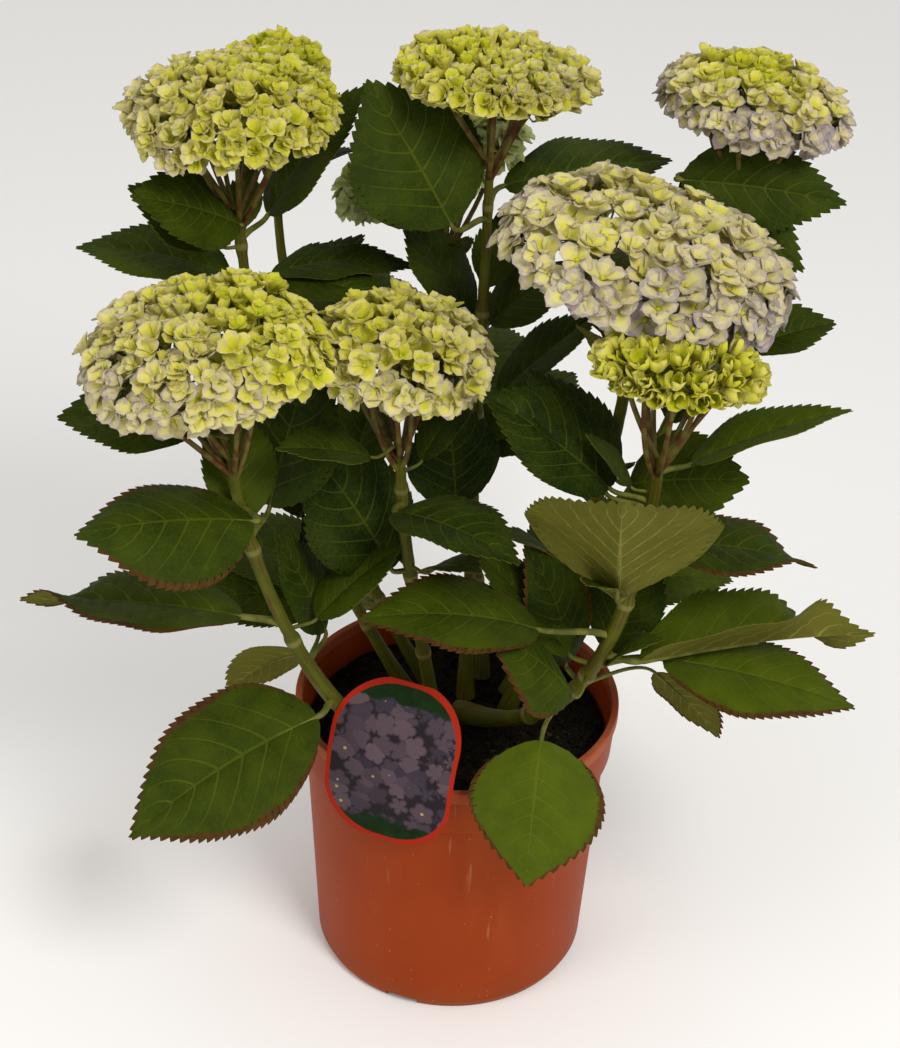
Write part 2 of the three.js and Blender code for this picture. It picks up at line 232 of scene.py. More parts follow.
def neighbours_of(triangles):
    beside = defaultdict(set)
    for a, b, c in triangles:
        beside[a] |= {b, c}
        beside[b] |= {a, c}
        beside[c] |= {a, b}
    return beside


def rings_from(first, beside):
    """A lofted solid's rings: the first one's points, then those that edges join to them."""
    seen = set(first)
    rings = [sorted(first)]
    while True:
        ring = {n for point in rings[-1] for n in beside[point]} - seen
        if not ring:
            return rings
        seen |= ring
        rings.append(sorted(ring))


def end_caps(points, triangles, size):
    """The flat ends of a loft: sets of that many points which lie in one plane and share faces."""
    caps = set()
    for a, b, c in triangles:
        normal = unit(np.cross(points[b] - points[a], points[c] - points[a]))
        flat = np.flatnonzero(np.abs((points - points[a]) @ normal) < 0.02 * MM)
        inside = np.isin(triangles, flat).all(axis=1).sum()
        if len(flat) == size and inside == size - 2:
            caps.add(tuple(flat))
    return caps


def breadth(places):
    return max(np.linalg.norm(places - place, axis=1).max() for place in places)


# ---------------------------------------------------------------- leaf blades

Blade = namedtuple("Blade", "middle left right up length")

# Where along a blade the rings of the CAD's loft are, and how many points each ring has.
RING_SHARES = 0.02 + 0.96 * np.arange(8) / 7
RING_POINTS = 8


def outline(share):
    """Half width of a blade along its midrib, as a share of the greatest: as in the CAD."""
    return np.sin(math.pi * np.clip(share, 0, 1) ** 0.78) ** 0.75


def along(curve, share):
    """Points of a fitted curve at shares of its length."""
    return np.vander(np.atleast_1d(share), len(curve)) @ curve


def read_pad(node):
    """The blade that a leaf pad stands for, from the eight rings of its loft."""
    points, triangles = solid_of(node)
    beside = neighbours_of(triangles)
    caps = end_caps(points, triangles, RING_POINTS)
    foot = max(caps, key=lambda cap: breadth(points[list(cap)]))
    rings = rings_from(foot, beside)
    ones, others, middles, ups = [], [], [], []
    for ring in rings:
        places = points[ring]
        gaps = np.linalg.norm(places[:, None] - places[None], axis=2)
        one, other = np.unravel_index(gaps.argmax(), gaps.shape)
        order = np.argsort(places @ (places[other] - places[one]))
        ones.append(places[order[:2]].mean(axis=0))
        others.append(places[order[6:]].mean(axis=0))
        middles.append(places[order[3:5]].mean(axis=0))
        quarters = {ring[order[2]], ring[order[5]]}
        tops = [k for k in order[3:5] if quarters <= beside[ring[k]]]
        ups.append(places[tops[0]] - middles[-1] if len(tops) == 1 else None)
    middles = np.array(middles)
    ways = np.gradient(middles, axis=0)
    ups[0] = ups[1]
    ups[-1] = ups[-2]
    ups = unit(np.array(ups))
    wide = outline(RING_SHARES)[:, None]
    lefts, rights = [], []
    for one, other, middle, way, up in zip(ones, others, middles, ways, ups):
        side = np.cross(up, way)
        first_is_left = (one - middle) @ side > 0
        lefts.append((one if first_is_left else other) - middle)
        rights.append((other if first_is_left else one) - middle)
    return Blade(
        np.polyfit(RING_SHARES, middles, 3),
        np.polyfit(RING_SHARES, np.array(lefts) / wide, 2),
        np.polyfit(RING_SHARES, np.array(rights) / wide, 2),
        np.polyfit(RING_SHARES, ups, 2),
        np.linalg.norm(np.diff(middles, axis=0), axis=1).sum() / 0.96,
    )


def heading_of(degrees, rise=0.0):
    """Unit vector along a compass heading (0 is +X, 90 is +Y) and above the horizontal."""
    turn = math.radians(degrees)
    lift = math.radians(rise)
    level = math.cos(lift)
    return np.array([level * math.cos(turn), level * math.sin(turn), math.sin(lift)])


def grown_blade(foot, heading, rise, length, width, sag, roll, fold):
    """A blade from plain numbers, bent as the CAD bends its pads."""
    middles = [np.array(foot, float)]
    lefts, rights, ups = [], [], []
    step = length / 7
    for k in range(8):
        pitch = rise + sag * (0.5 - k / 7)
        way = heading_of(heading, pitch)
        if k:
            middles.append(middles[-1] + way * step)
        left = turned(way, roll) @ heading_of(heading + 90)
        up = np.cross(way, left)
        lift = up * math.tan(math.radians(fold))
        lefts.append((left + lift) * width / 2)
        rights.append((-left + lift) * width / 2)
        ups.append(up)
    shares = np.arange(8) / 7
    fits = [np.polyfit(shares, np.array(rows), 3) for rows in (middles, lefts, rights, ups)]
    return Blade(*fits, length)


def swung(blade, degrees, longer, wider, lift):
    """A copy of a blade, swung sideways about its foot, scaled and lifted off the first."""
    up = unit(along(blade.up, 0.1)[0])
    spin = turned(up, degrees)
    foot = along(blade.middle, 0.0)[0]
    middle = blade.middle @ spin.T * longer
    middle[-1] = foot + spin @ (blade.middle[-1] - foot) * longer + up * lift
    left = blade.left @ spin.T * wider
    right = blade.right @ spin.T * wider
    return Blade(middle, left, right, blade.up @ spin.T, blade.length * longer)


def curled(blade, base, tip, start):
    """A copy of a blade, turned about its midrib: by base degrees, growing to tip from start on."""
    shares = np.linspace(0, 1, 16)
    middles = along(blade.middle, shares)
    ways = unit(np.gradient(middles, axis=0))
    turns = base + (tip - base) * smooth_step(start, 1.0, shares)
    spins = [turned(way, turn) for way, turn in zip(ways, turns)]
    fits = []
    for curve in (blade.left, blade.right, blade.up):
        rows = [spin @ row for spin, row in zip(spins, along(curve, shares))]
        fits.append(np.polyfit(shares, np.array(rows), 8))
    return Blade(blade.middle, *fits, blade.length)


# A blade's thickness and the heights of its relief: between veins, at its waves and across it.
THICKNESS = 0.5 * MM
USUAL_LENGTH = 120 * MM  # of a blade whose relief and stalk aren't scaled
QUILTING = 1.5 * MM
WAVING = 1.7 * MM
ARCHING = 0.10  # as a share of its half width
TOOTH_DEPTH = 2.1 * MM
TOOTH_PITCH = 5.2 * MM
TOOTH_SHAPE = np.array([0.0, 0.42, 0.78, 1.0])  # a slow rise and a sudden fall
VEIN_PAIRS = 8
VEIN_LEAN = 0.30
VEIN_BEND = 1.25
# The columns of points from the midrib to the margin, then those of the whole blade.
HALF_COLUMNS = np.array([0.0, 0.035, 0.15, 0.34, 0.54, 0.74, 0.90, 1.0])
COLUMNS = np.concatenate([-HALF_COLUMNS[:0:-1], HALF_COLUMNS])

Wear = namedtuple("Wear", "left right")
HEALTHY = Wear(0.0, 0.0)


def add_blade(pile, blade, rng, tone, wear=HEALTHY):
    """One toothed, quilted blade as a closed thin solid: slots 0 and 1, or 2 and 3 where worn."""
    teeth = int(np.clip(blade.length / TOOTH_PITCH, 9, 28))
    rows = 4 * teeth + 1
    share = np.linspace(0.006, 0.995, rows)
    size = min(blade.length / USUAL_LENGTH, 1.2)
    up = unit(along(blade.up, share))
    half = outline(share) ** (1 + 0.55 * share**3)
    edges = {1: along(blade.left, share), -1: along(blade.right, share)}
    tooth_depth = TOOTH_DEPTH * size * smooth_step(0.0, 0.12, share) * (1 - 0.5 * share**4)
    wave_turns = rng.uniform(0, 2 * math.pi, 2)
    wave_count = rng.uniform(1.6, 2.6)
    spots, heights = [], []
    for column in COLUMNS:
        side = 1 if column >= 0 else -1
        v = abs(column)
        edge = edges[side]
        reach = np.linalg.norm(edge, axis=1) * half
        tooth = TOOTH_SHAPE[(np.arange(rows) + (1 if side > 0 else 3)) % 4]
        bite = smooth_step(0.88, 1.0, v) * (tooth - 0.6) * tooth_depth
        push = smooth_step(0.88, 1.0, v) * tooth * 0.5 * TOOTH_PITCH / blade.length
        base = along(blade.middle, np.clip(share + push, 0, 1))
        spot = base + unit(edge) * (reach * v + bite)[:, None]
        phase = VEIN_PAIRS * (share - VEIN_LEAN * v**VEIN_BEND)
        swell = np.sqrt(np.abs(np.sin(math.pi * phase))) * (1 - v**5)
        swell *= smooth_step(0.0, 0.16, v) * np.clip(half * 1.6, 0, 1) * (phase > 0)
        shift = wave_turns[0 if side > 0 else 1]
        ripple = math.sin(shift) + np.sin(2 * math.pi * wave_count * share + shift)
        height = QUILTING * size * swell
        height += WAVING * size * ripple * v**2 * half
        height -= ARCHING * reach * v**2
        spots.append(spot)
        heights.append(height)
    spots = np.stack(spots, axis=1) + np.stack(heights, axis=1)[:, :, None] * up[:, None, :]
    lift = (up * THICKNESS / 2)[:, None, :]
    points = np.concatenate([(spots + lift).reshape(-1, 3), (spots - lift).reshape(-1, 3)])
    uv = np.stack(np.meshgrid(share, COLUMNS * 0.5 + 0.5, indexing="ij"), axis=-1).reshape(-1, 2)
    top, under, band = plate_faces(rows, len(COLUMNS))
    worn = worn_faces(rows, len(COLUMNS), wear)
    slots = np.concatenate([2 * worn, 1 + 2 * worn, np.full(len(band), 3 if any(wear) else 1)])
    faces = np.concatenate([top, under, band])[:, ::-1]
    pile.add(points, faces, slots, np.concatenate([uv, uv]), tone)


def worn_faces(rows, across, wear):
    """Which faces of a blade's grid have the worn material: one or two rows at a worn margin."""
    worn = np.zeros((rows - 1, across - 1), int)
    for side, amount in ((1, wear.left), (-1, wear.right)):
        for k in range(math.ceil(2 * amount)):
            worn[:, across - 2 - k if side > 0 else k] = 1
    return worn.ravel()


# ---------------------------------------------------------------- canes and stalks


WOBBLE_SCALE = 260  # radians to a metre


def add_tube(pile, path, radii, sides, wobble=0.0, seed=0):
    """A closed round tube along a path of points, without twist, its radius from point to point."""
    path = np.asarray(path, float)
    rows = len(path)
    radii = np.broadcast_to(radii, rows)
    ways = unit(np.gradient(path, axis=0))
    side = unit(np.cross(ways[0], UP if abs(ways[0][2]) < 0.95 else np.array([1.0, 0, 0])))
    sides_at = []
    for way in ways:
        side = unit(side - way * (side @ way))
        sides_at.append(side)
    sides_at = np.array(sides_at)
    others = np.cross(ways, sides_at)
    turn = 2 * math.pi * np.arange(sides) / sides
    ring = sides_at[:, None] * np.cos(turn)[:, None] + others[:, None] * np.sin(turn)[:, None]
    places = path[:, None] + ring * radii[:, None, None]
    if wobble:
        flat = places.reshape(-1, 3)
        push = wave_noise(flat, seed, WOBBLE_SCALE) * wobble
        places = (flat + ring.reshape(-1, 3) * push[:, None]).reshape(places.shape)
    travelled = distances(path)
    uv = np.stack(np.meshgrid(travelled, turn / (2 * math.pi), indexing="ij"), axis=-1)
    points = np.concatenate([places.reshape(-1, 3), path[:1], path[-1:]])
    uv = np.concatenate([uv.reshape(-1, 2), [[0, 0]], [[travelled[-1], 0]]])
    walls, fans = capped_faces(rows, sides)
    pile.add(points, walls, uv=uv, fans=fans)


def smooth_path(points, spacing):
    """Points at even spacing on a smooth curve through the given ones."""
    points = np.asarray(points, float)
    knots = distances(points)
    slopes = np.gradient(points, knots, axis=0)
    places = np.linspace(0, knots[-1], max(int(knots[-1] / spacing), 4) + 1)
    index = np.clip(np.searchsorted(knots, places, side="right") - 1, 0, len(knots) - 2)
    gap = np.diff(knots)[index][:, None]
    s = (places - knots[index])[:, None] / gap
    a, b = points[index], points[index + 1]
    da, db = slopes[index] * gap, slopes[index + 1] * gap
    h = 2 * s**3 - 3 * s**2
    return (1 + h) * a - h * b + (s**3 - 2 * s**2 + s) * da + (s**3 - s**2) * db


def bezier(start, low, high, end, steps):
    s = np.linspace(0, 1, steps)[:, None]
    return (1 - s) ** 3 * start + 3 * s * (1 - s) ** 2 * low + 3 * s**2 * (1 - s) * high + s**3 * end


Cane = namedtuple("Cane", "name path radii")

NODE_SPACING = 75 * MM
NODE_SWELLING = 0.26
NODE_GROOVE = 0.12
CANE_SLIMMING = 0.87  # the real canes are thinner than the CAD makes them
CANE_SIDES = 18
CANE_WOBBLE = 0.22 * MM
CANE_STEP = 2.5 * MM
FAN_STEPS = 19  # the last steps of a cane's path, where the branches of its head take over
FORK_TAPER = 0.55


def read_cane(node):
    """Centre line and radius of a cane, from the rings of its loft."""
    points, triangles = solid_of(node)
    foot = np.flatnonzero(points[:, 2] < points[:, 2].min() + 0.5 * MM)
    rings = rings_from(foot, neighbours_of(triangles))
    centres, radii = [], []
    for ring in rings:
        if len(ring) != len(foot):  # a stretch that was cut round a neighbour
            continue
        centre = points[ring].mean(axis=0)
        centres.append(centre)
        radii.append(np.linalg.norm(points[ring] - centre, axis=1).mean())
    path = smooth_path(centres, CANE_STEP)
    knots = distances(centres)
    return Cane(node, path, np.interp(np.linspace(0, knots[-1], len(path)), knots, radii))


def cane_radii(cane):
    """The cane's radius with a swollen ring at each node, a groove just above it, and a taper."""
    travelled = np.arange(len(cane.path)) * CANE_STEP
    off = (travelled + NODE_SPACING / 2) % NODE_SPACING - NODE_SPACING / 2
    off = np.where(travelled < NODE_SPACING / 2, 1.0, off)
    swelling = NODE_SWELLING * np.exp(-((off / (5 * MM)) ** 2))
    groove = NODE_GROOVE * np.exp(-(((off - 6 * MM) / (2 * MM)) ** 2))
    soft = np.convolve(np.pad(cane.radii, 12, mode="edge"), np.ones(25) / 25, mode="valid")
    to_fork = np.arange(len(cane.path))[::-1] - FAN_STEPS
    taper = blend(FORK_TAPER, 1.0, smooth_step(0, 6, to_fork))
    return CANE_SLIMMING * soft * (1 + swelling - groove) * taper


def node_places(cane):
    """Path indexes of the cane's nodes."""
    per_node = int(round(NODE_SPACING / CANE_STEP))
    return list(range(per_node, len(cane.path) - 8, per_node))


def build_canes(canes):
    """Every cane as its own piece, up to the fork of its head."""
    for number, cane in enumerate(canes):
        pile = Pile()
        path, radii = cane.path[:-FAN_STEPS], cane_radii(cane)[:-FAN_STEPS]
        add_tube(pile, path, radii, CANE_SIDES, CANE_WOBBLE, SEED + number)
        pile.build(cane.name + "_ribbed", "stem", [CANE_MATERIAL], [cane.name], sharp=80)


def petiole_path(foot, way, canes):
    """A stalk's route from the best point of a cane up to the foot of a blade."""
    best = None
    for cane in canes:
        gaps = np.linalg.norm(cane.path - foot, axis=1)
        below = foot[2] - cane.path[:, 2]
        cost = gaps + 0.6 * np.abs(below - 0.25 * gaps)
        k = int(cost.argmin())
        if best is None or cost[k] < best[0]:
            best = (cost[k], cane.path[k], unit(np.gradient(cane.path, axis=0)[k]), gaps[k])
    _, start, climb, gap = best
    low = start + (unit(foot - start) + 0.5 * climb) * gap * 0.3
    high = foot - way * gap * 0.3
    return bezier(start, low, high, foot, 14)


# ---------------------------------------------------------------- flower heads

# Each is given at the crown and at the rim. size: millimetres across; cup: the rise of a petal from
# its foot, in degrees; curl: the share of that which it loses by its tip, below 0 where it closes;
# age: 0 is lime, 1 is lilac; older: the heading of the side that is further on, and by how much.
Bloom = namedtuple("Bloom", "size cup curl age older")

BLOOMS = {
    "head_left_top": Bloom((12, 14), (76, 66), (0.20, 0.45), (0.26, 0.38), (200, 0.12)),
    "head_left_rear": Bloom((12, 13), (76, 70), (0.10, 0.25), (0.14, 0.22), (0, 0.0)),
    "head_centre_top": Bloom((12, 14), (76, 68), (0.10, 0.30), (0.24, 0.38), (0, 0.06)),
    "head_right_top": Bloom((14, 18), (72, 54), (0.25, 0.60), (0.14, 0.76), (0, 0.07)),
    "head_right_large": Bloom((20, 26), (66, 44), (0.35, 0.75), (0.46, 0.72), (-30, 0.08)),
    "head_right_young": Bloom((14, 15), (32, 31), (-2.6, -2.3), (0.20, 0.27), (0, 0.0)),
    "head_left_front": Bloom((14, 20), (74, 48), (0.25, 0.75), (0.26, 0.50), (215, 0.18)),
    "head_centre_front": Bloom((14, 18), (74, 58), (0.25, 0.60), (0.30, 0.46), (-60, 0.08)),
    "head_rear": Bloom((21, 24), (62, 50), (0.40, 0.75), (0.30, 0.60), (0, 0.0)),
}

# Key tints from the youngest to the oldest petals, and how many plain tints are made from them.
PETAL_KEYS = np.array(
    [
        (0.35, 0.380, 0.006),
        (0.46, 0.475, 0.015),
        (0.53, 0.510, 0.038),
        (0.58, 0.535, 0.100),
        (0.58, 0.520, 0.210),
        (0.50, 0.440, 0.270),
        (0.40, 0.340, 0.270),
        (0.28, 0.235, 0.280),
    ]
)
REAR_KEYS = np.array(
    [
        (0.21, 0.27, 0.035),
        (0.32, 0.38, 0.085),
        (0.41, 0.45, 0.170),
        (0.44, 0.46, 0.270),
    ]
)
TINT_COUNT = 15

BRANCH_COUNT = 9
BRANCH_STEPS = 12
BRANCH_RADII = (1.9 * MM, 1.4 * MM)
PEDICEL_RADIUS = 0.7 * MM
RIM_RINGS = ((0.06, 1.0), (-0.22, 0.96), (-0.5, 0.80))  # level and reach
WIDE_SPACING = 14 * MM  # where florets are as far apart as this, the last of the rings is left out
LOWER_LAYER = 9 * MM
PAINTED_SHADE_BELOW = 12  # painted shade: by how much florets take the darker, greener tints of younger ones for each metre below the surface
FLORET_OVERLAP = 0.60  # from floret to floret, as a share of a floret's width
FLORET_GAP = 1.2 * MM
FLORET_SIZES = (0.80, 1.18)
UPTURN = 0.35  # how far florets turn from the dome's own slope towards the light
HUB_SHARE = 0.28  # height of the hub in the head, from which florets are cast onto its surface

PETAL_ROWS = 4
PETAL_COLUMNS = 4
PETAL_THICKNESS = 0.45 * MM
PETAL_SHARES = np.array([0.05, 0.36, 0.66, 0.88, 1.0])
PETAL_WRAP = 1.05  # the most that half a sepal reaches round the floret, in radians


def petal_faces():
    """Faces of a pillow: a top and an under sheet of one grid that share their border points."""
    rows, columns = PETAL_ROWS + 1, PETAL_COLUMNS
    index = np.arange(rows * columns).reshape(rows, columns)
    under = index.copy()
    inner = index[1:-1, 1:-1]
    under[1:-1, 1:-1] = rows * columns + np.arange(inner.size).reshape(inner.shape)
    top = grid_faces(rows, columns)
    return top[:, ::-1], under.ravel()[top], inner.ravel()


PETAL_TOP, PETAL_UNDER, PETAL_INNER = petal_faces()
PETAL_FACE_ROW = np.repeat(np.arange(PETAL_ROWS), PETAL_COLUMNS - 1)
PETAL_FACE_EDGE = np.isin(np.arange(PETAL_COLUMNS - 1), (0, PETAL_COLUMNS - 2))
PETAL_FACE_EDGE = np.tile(PETAL_FACE_EDGE, PETAL_ROWS)


def petal(length, width, cup, uncurl, rng):
    """A sepal from the floret's middle outwards along +X, bent round the floret's axis, +Z."""
    pitch = np.radians(cup - uncurl * PETAL_SHARES)
    steps = np.diff(PETAL_SHARES) * length
    out = 0.06 * length + np.concatenate([[0], np.cumsum(np.cos(pitch[1:]) * steps)])
    climb = np.concatenate([[0], np.cumsum(np.sin(pitch[1:]) * steps)])
    wide = width / 2 * np.maximum(np.sin(math.pi * PETAL_SHARES**0.95), 0.0) ** 0.5
    wide[0] = width * 0.12
    wide[-1] = width * 0.04
    across = np.linspace(-1, 1, PETAL_COLUMNS)
    around = np.minimum(wide / out, PETAL_WRAP)[:, None] * across
    reach = out[:, None] * (1 - rng.uniform(0.02, 0.14) * across**2)
    lift = rng.uniform(0.05, 0.30) * wide[:, None] * across**2
    ruffle = 0.04 * width * np.sin(4 * PETAL_SHARES + rng.uniform(0, 6))[:, None] * across
    east, north = np.cos(around), np.sin(around)
    top = np.stack([reach * east, reach * north, climb[:, None] + lift + ruffle], axis=-1)
    steep, level = np.sin(pitch)[:, None], np.cos(pitch)[:, None]
    below = np.stack([steep * east, steep * north, -level + 0 * around], axis=-1)
    under = (top + below * PETAL_THICKNESS).reshape(-1, 3)[PETAL_INNER]
    return np.concatenate([top.reshape(-1, 3), under])


def petal_tints(keys):
    """Plain colours in even steps between the key tints."""
    steps = np.linspace(0, len(keys) - 1, TINT_COUNT)
    places = np.arange(len(keys))
    return np.stack([np.interp(steps, places, keys[:, k]) for k in range(3)], axis=1)


def tint_slots(age, rng):
    """The tint of each of a sepal's faces: greener at the heart, further on towards its border."""
    level = age + rng.normal(0, 0.03)
    outward = (PETAL_FACE_ROW / (PETAL_ROWS - 1)) ** 1.3 * 0.8 + 0.2 * PETAL_FACE_EDGE
    tip = 0.28 * (rng.random() < 0.4) * (PETAL_FACE_ROW == PETAL_ROWS - 1)
    top = level + blend(-0.24, 0.26 + 0.06 * age, outward) + tip
    under = np.full(len(top), level + 0.10)
    slots = np.round(np.concatenate([top, under]) * (TINT_COUNT - 1))
    return np.clip(slots, 0, TINT_COUNT - 1).astype(int)


def petal_length(size, cup, curl):
    """Length of a petal that makes a floret of that width."""
    middle = math.radians(cup * (1 - 0.5 * curl))
    return size / 2 / max(math.cos(middle), 0.5)


def floret_height(size, cup, curl):
    middle = math.radians(cup * (1 - 0.5 * curl))
    return petal_length(size, cup, curl) * math.sin(middle)


def add_floret(pile, at, normal, size, cup, curl, age, rng):
    """Four cupped sepals round a small bead, facing along the normal."""
    side = unit(np.cross(normal, unit(rng.normal(size=3))))
    basis = np.stack([side, np.cross(normal, side), normal], axis=1)
    length = petal_length(size, cup, curl)
    faces = np.concatenate([PETAL_TOP, PETAL_UNDER])
    for quarter in range(4):
        spin = turned((0, 0, 1), 90 * quarter + rng.uniform(-9, 9))
        reach = length * rng.uniform(0.9, 1.1)
        tilt = cup + rng.uniform(-7, 7)
        points = petal(reach, reach * rng.uniform(1.05, 1.25), tilt, tilt * curl, rng)
        points *= 1 + 0.07 * (quarter % 2)
        pile.add(points @ spin.T @ basis.T + at, faces, tint_slots(age, rng))
    add_bead(pile, at + normal * 0.05 * size, normal, 0.07 * size + 0.4 * MM, 2)


def add_bead(pile, at, normal, radius, slot):
    """The bud at the heart of a floret."""
    rows, sides = 3, 5
    side = unit(np.cross(normal, UP + 0.1))
    other = np.cross(normal, side)
    turn = 2 * math.pi * np.arange(sides) / sides
    ways = [math.cos(t) * side + math.sin(t) * other for t in turn]
    pitch = np.linspace(-1.2, 1.45, rows)
    places = [at + radius * (math.cos(p) * way + math.sin(p) * normal) for p in pitch for way in ways]
    caps = np.array([np.arange(sides)[::-1], np.arange(sides) + (rows - 1) * sides])
    pile.add(places, grid_faces(rows, sides, closed=True), slot, fans=caps)


def head_frame(points):
    """A head's hub, its two long axes and its upright one, and its half sizes from the hub."""
    middle = points.mean(axis=0)
    _, axes = np.linalg.eigh(np.cov((points - middle).T))
    upright = axes[:, 0] * (1 if axes[2, 0] > 0 else -1)
    long_axis = axes[:, 2]
    axes = np.stack([long_axis, np.cross(upright, long_axis), upright], axis=1)
    local = (points - middle) @ axes
    low, high = local.min(axis=0), local.max(axis=0)
    hub = (low + high) / 2
    hub[2] = blend(low[2], high[2], HUB_SHARE)
    half = (high - low) / 2
    half[2] = high[2] - hub[2]
    return middle + axes @ hub, axes, half


def dome_ways(half, spacing, rng):
    """Places of florets evenly spread over a dome: a spiral on top, then rings at its rim.

    Each is its share of the half width, heading, level, nearness to the rim and depth.
    """
    ways = []
    count = int(math.pi * half[0] * half[1] / (0.87 * spacing**2))
    for k in range(count):
        reach = math.sqrt((k + 0.5) / count)
        turn = k * math.pi * (3 - math.sqrt(5))
        level = math.sqrt(max(1 - reach**2, 0.02))
        ways.append((reach, turn, level, reach, 0.0))
        if k % 3 == 0:  # a lower layer, so that the head is dense
            ways.append((reach, turn + 0.4, level, reach, LOWER_LAYER))
    around = int(math.pi * (half[0] + half[1]) / (spacing * 0.95))
    for level, reach in RIM_RINGS if spacing < WIDE_SPACING else RIM_RINGS[:-1]:
        start = rng.uniform(0, 6)
        for k in range(around):
            ways.append((reach, start + 2 * math.pi * k / around, level, 1.0, 0.0))
    return ways


def build_head(node, path):
    """One flower head: florets over the CAD dome's surface, on stalks that fan from the cane."""
    rng = np.random.default_rng(SEED + HEADS.index(node))
    bloom = BLOOMS[node]
    points, triangles = solid_of(node)
    surface = BVHTree.FromPolygons([Vector(p) for p in points], triangles.tolist())
    hub, axes, half = head_frame(points)
    spacing = FLORET_OVERLAP * MM * sum(bloom.size) / 2 + FLORET_GAP
    older = heading_of(bloom.older[0])
    florets, branches, pedicels = Pile(), Pile(), Pile()
    feet = branch_feet(branches, hub, axes, half, path, rng)
    for reach, turn, level, rim, depth in dome_ways(half, spacing, rng):
        turn += rng.normal(0, 0.10 / (0.3 + reach))
        local = np.array([reach * math.cos(turn), reach * math.sin(turn), level])
        local += rng.normal(0, 0.03, 3)
        way = unit(axes @ (local * half))
        hit = surface.ray_cast(Vector(hub), Vector(way))[0]
        if hit is None:
            continue
        steep = unit(axes @ (local / half))
        normal = unit(steep + UPTURN * UP + rng.normal(0, 0.15, 3))
        size = MM * blend(*bloom.size, rim**2) * rng.uniform(*FLORET_SIZES)
        cup = blend(*bloom.cup, rim**2) + rng.uniform(-6, 6)
        curl = blend(*bloom.curl, rim**2)
        sunk = floret_height(size, cup, curl) * rng.uniform(0.65, 1.4) + 1.5 * MM + depth
        at = np.array(hit) - normal * sunk - steep * 0.1 * size
        age = blend(*bloom.age, rim**2) + bloom.older[1] * (unit(at - hub) @ older)
        # Painted shade: florets deeper in the head are given darker, greener tints, so the gaps
        # between florets read dark.
        age = float(np.clip(age + rng.normal(0, 0.05) - PAINTED_SHADE_BELOW * depth, 0, 1))
        add_floret(florets, at, normal, size, cup, curl, age, rng)
        foot = min(feet, key=lambda place: np.linalg.norm(place - at))
        bend = at - normal * np.linalg.norm(at - foot) * 0.45
        stalk = bezier(foot, foot * 0.5 + bend * 0.5, bend, at, 4)
        add_tube(pedicels, stalk, PEDICEL_RADIUS, 4)
    family, keys = ("rear", REAR_KEYS) if node == "head_rear" else ("petal", PETAL_KEYS)
    tints = enumerate(petal_tints(keys))
    materials = [petal_material(f"{family}_{number:02d}", tuple(tint)) for number, tint in tints]
    florets.build(node + "_florets", "flower_head", materials, [node], sharp=70)
    branches.build(node + "_branches", "stem", [STALK_MATERIAL], sharp=80)
    pedicels.build(node + "_pedicels", "stem", [PEDICEL_MATERIAL], sharp=80)


def branch_feet(branches, hub, axes, half, path, rng):
    """Draws the main branches from the cane's fork to the head and returns their ends in the dome."""
    feet = [hub]
    climb = unit(path[-FAN_STEPS] - path[-FAN_STEPS - 6])
    for k in range(BRANCH_COUNT):
        turn = 2 * math.pi * (k + rng.uniform(-0.25, 0.25)) / BRANCH_COUNT
        spread = rng.uniform(0.34, 0.66)
        local = np.array([spread * math.cos(turn), spread * math.sin(turn), rng.uniform(0.0, 0.3)])
        end = hub + axes @ (local * half)
        fork = path[-FAN_STEPS - 1 - int(rng.uniform(0, 7))]
        sideways = end - fork - climb * ((end - fork) @ climb)
        start = fork + unit(sideways) * 2.0 * MM
        gap = np.linalg.norm(end - start)
        low = start + (0.8 * climb + 0.5 * unit(sideways)) * gap * 0.36
        high = end - axes[:, 2] * gap * 0.22
        curve = bezier(start, low, high, end, BRANCH_STEPS)
        add_tube(branches, curve, np.linspace(*BRANCH_RADII, BRANCH_STEPS), 8)
        feet += [end, curve[8]]
    return feet


# ---------------------------------------------------------------- materials


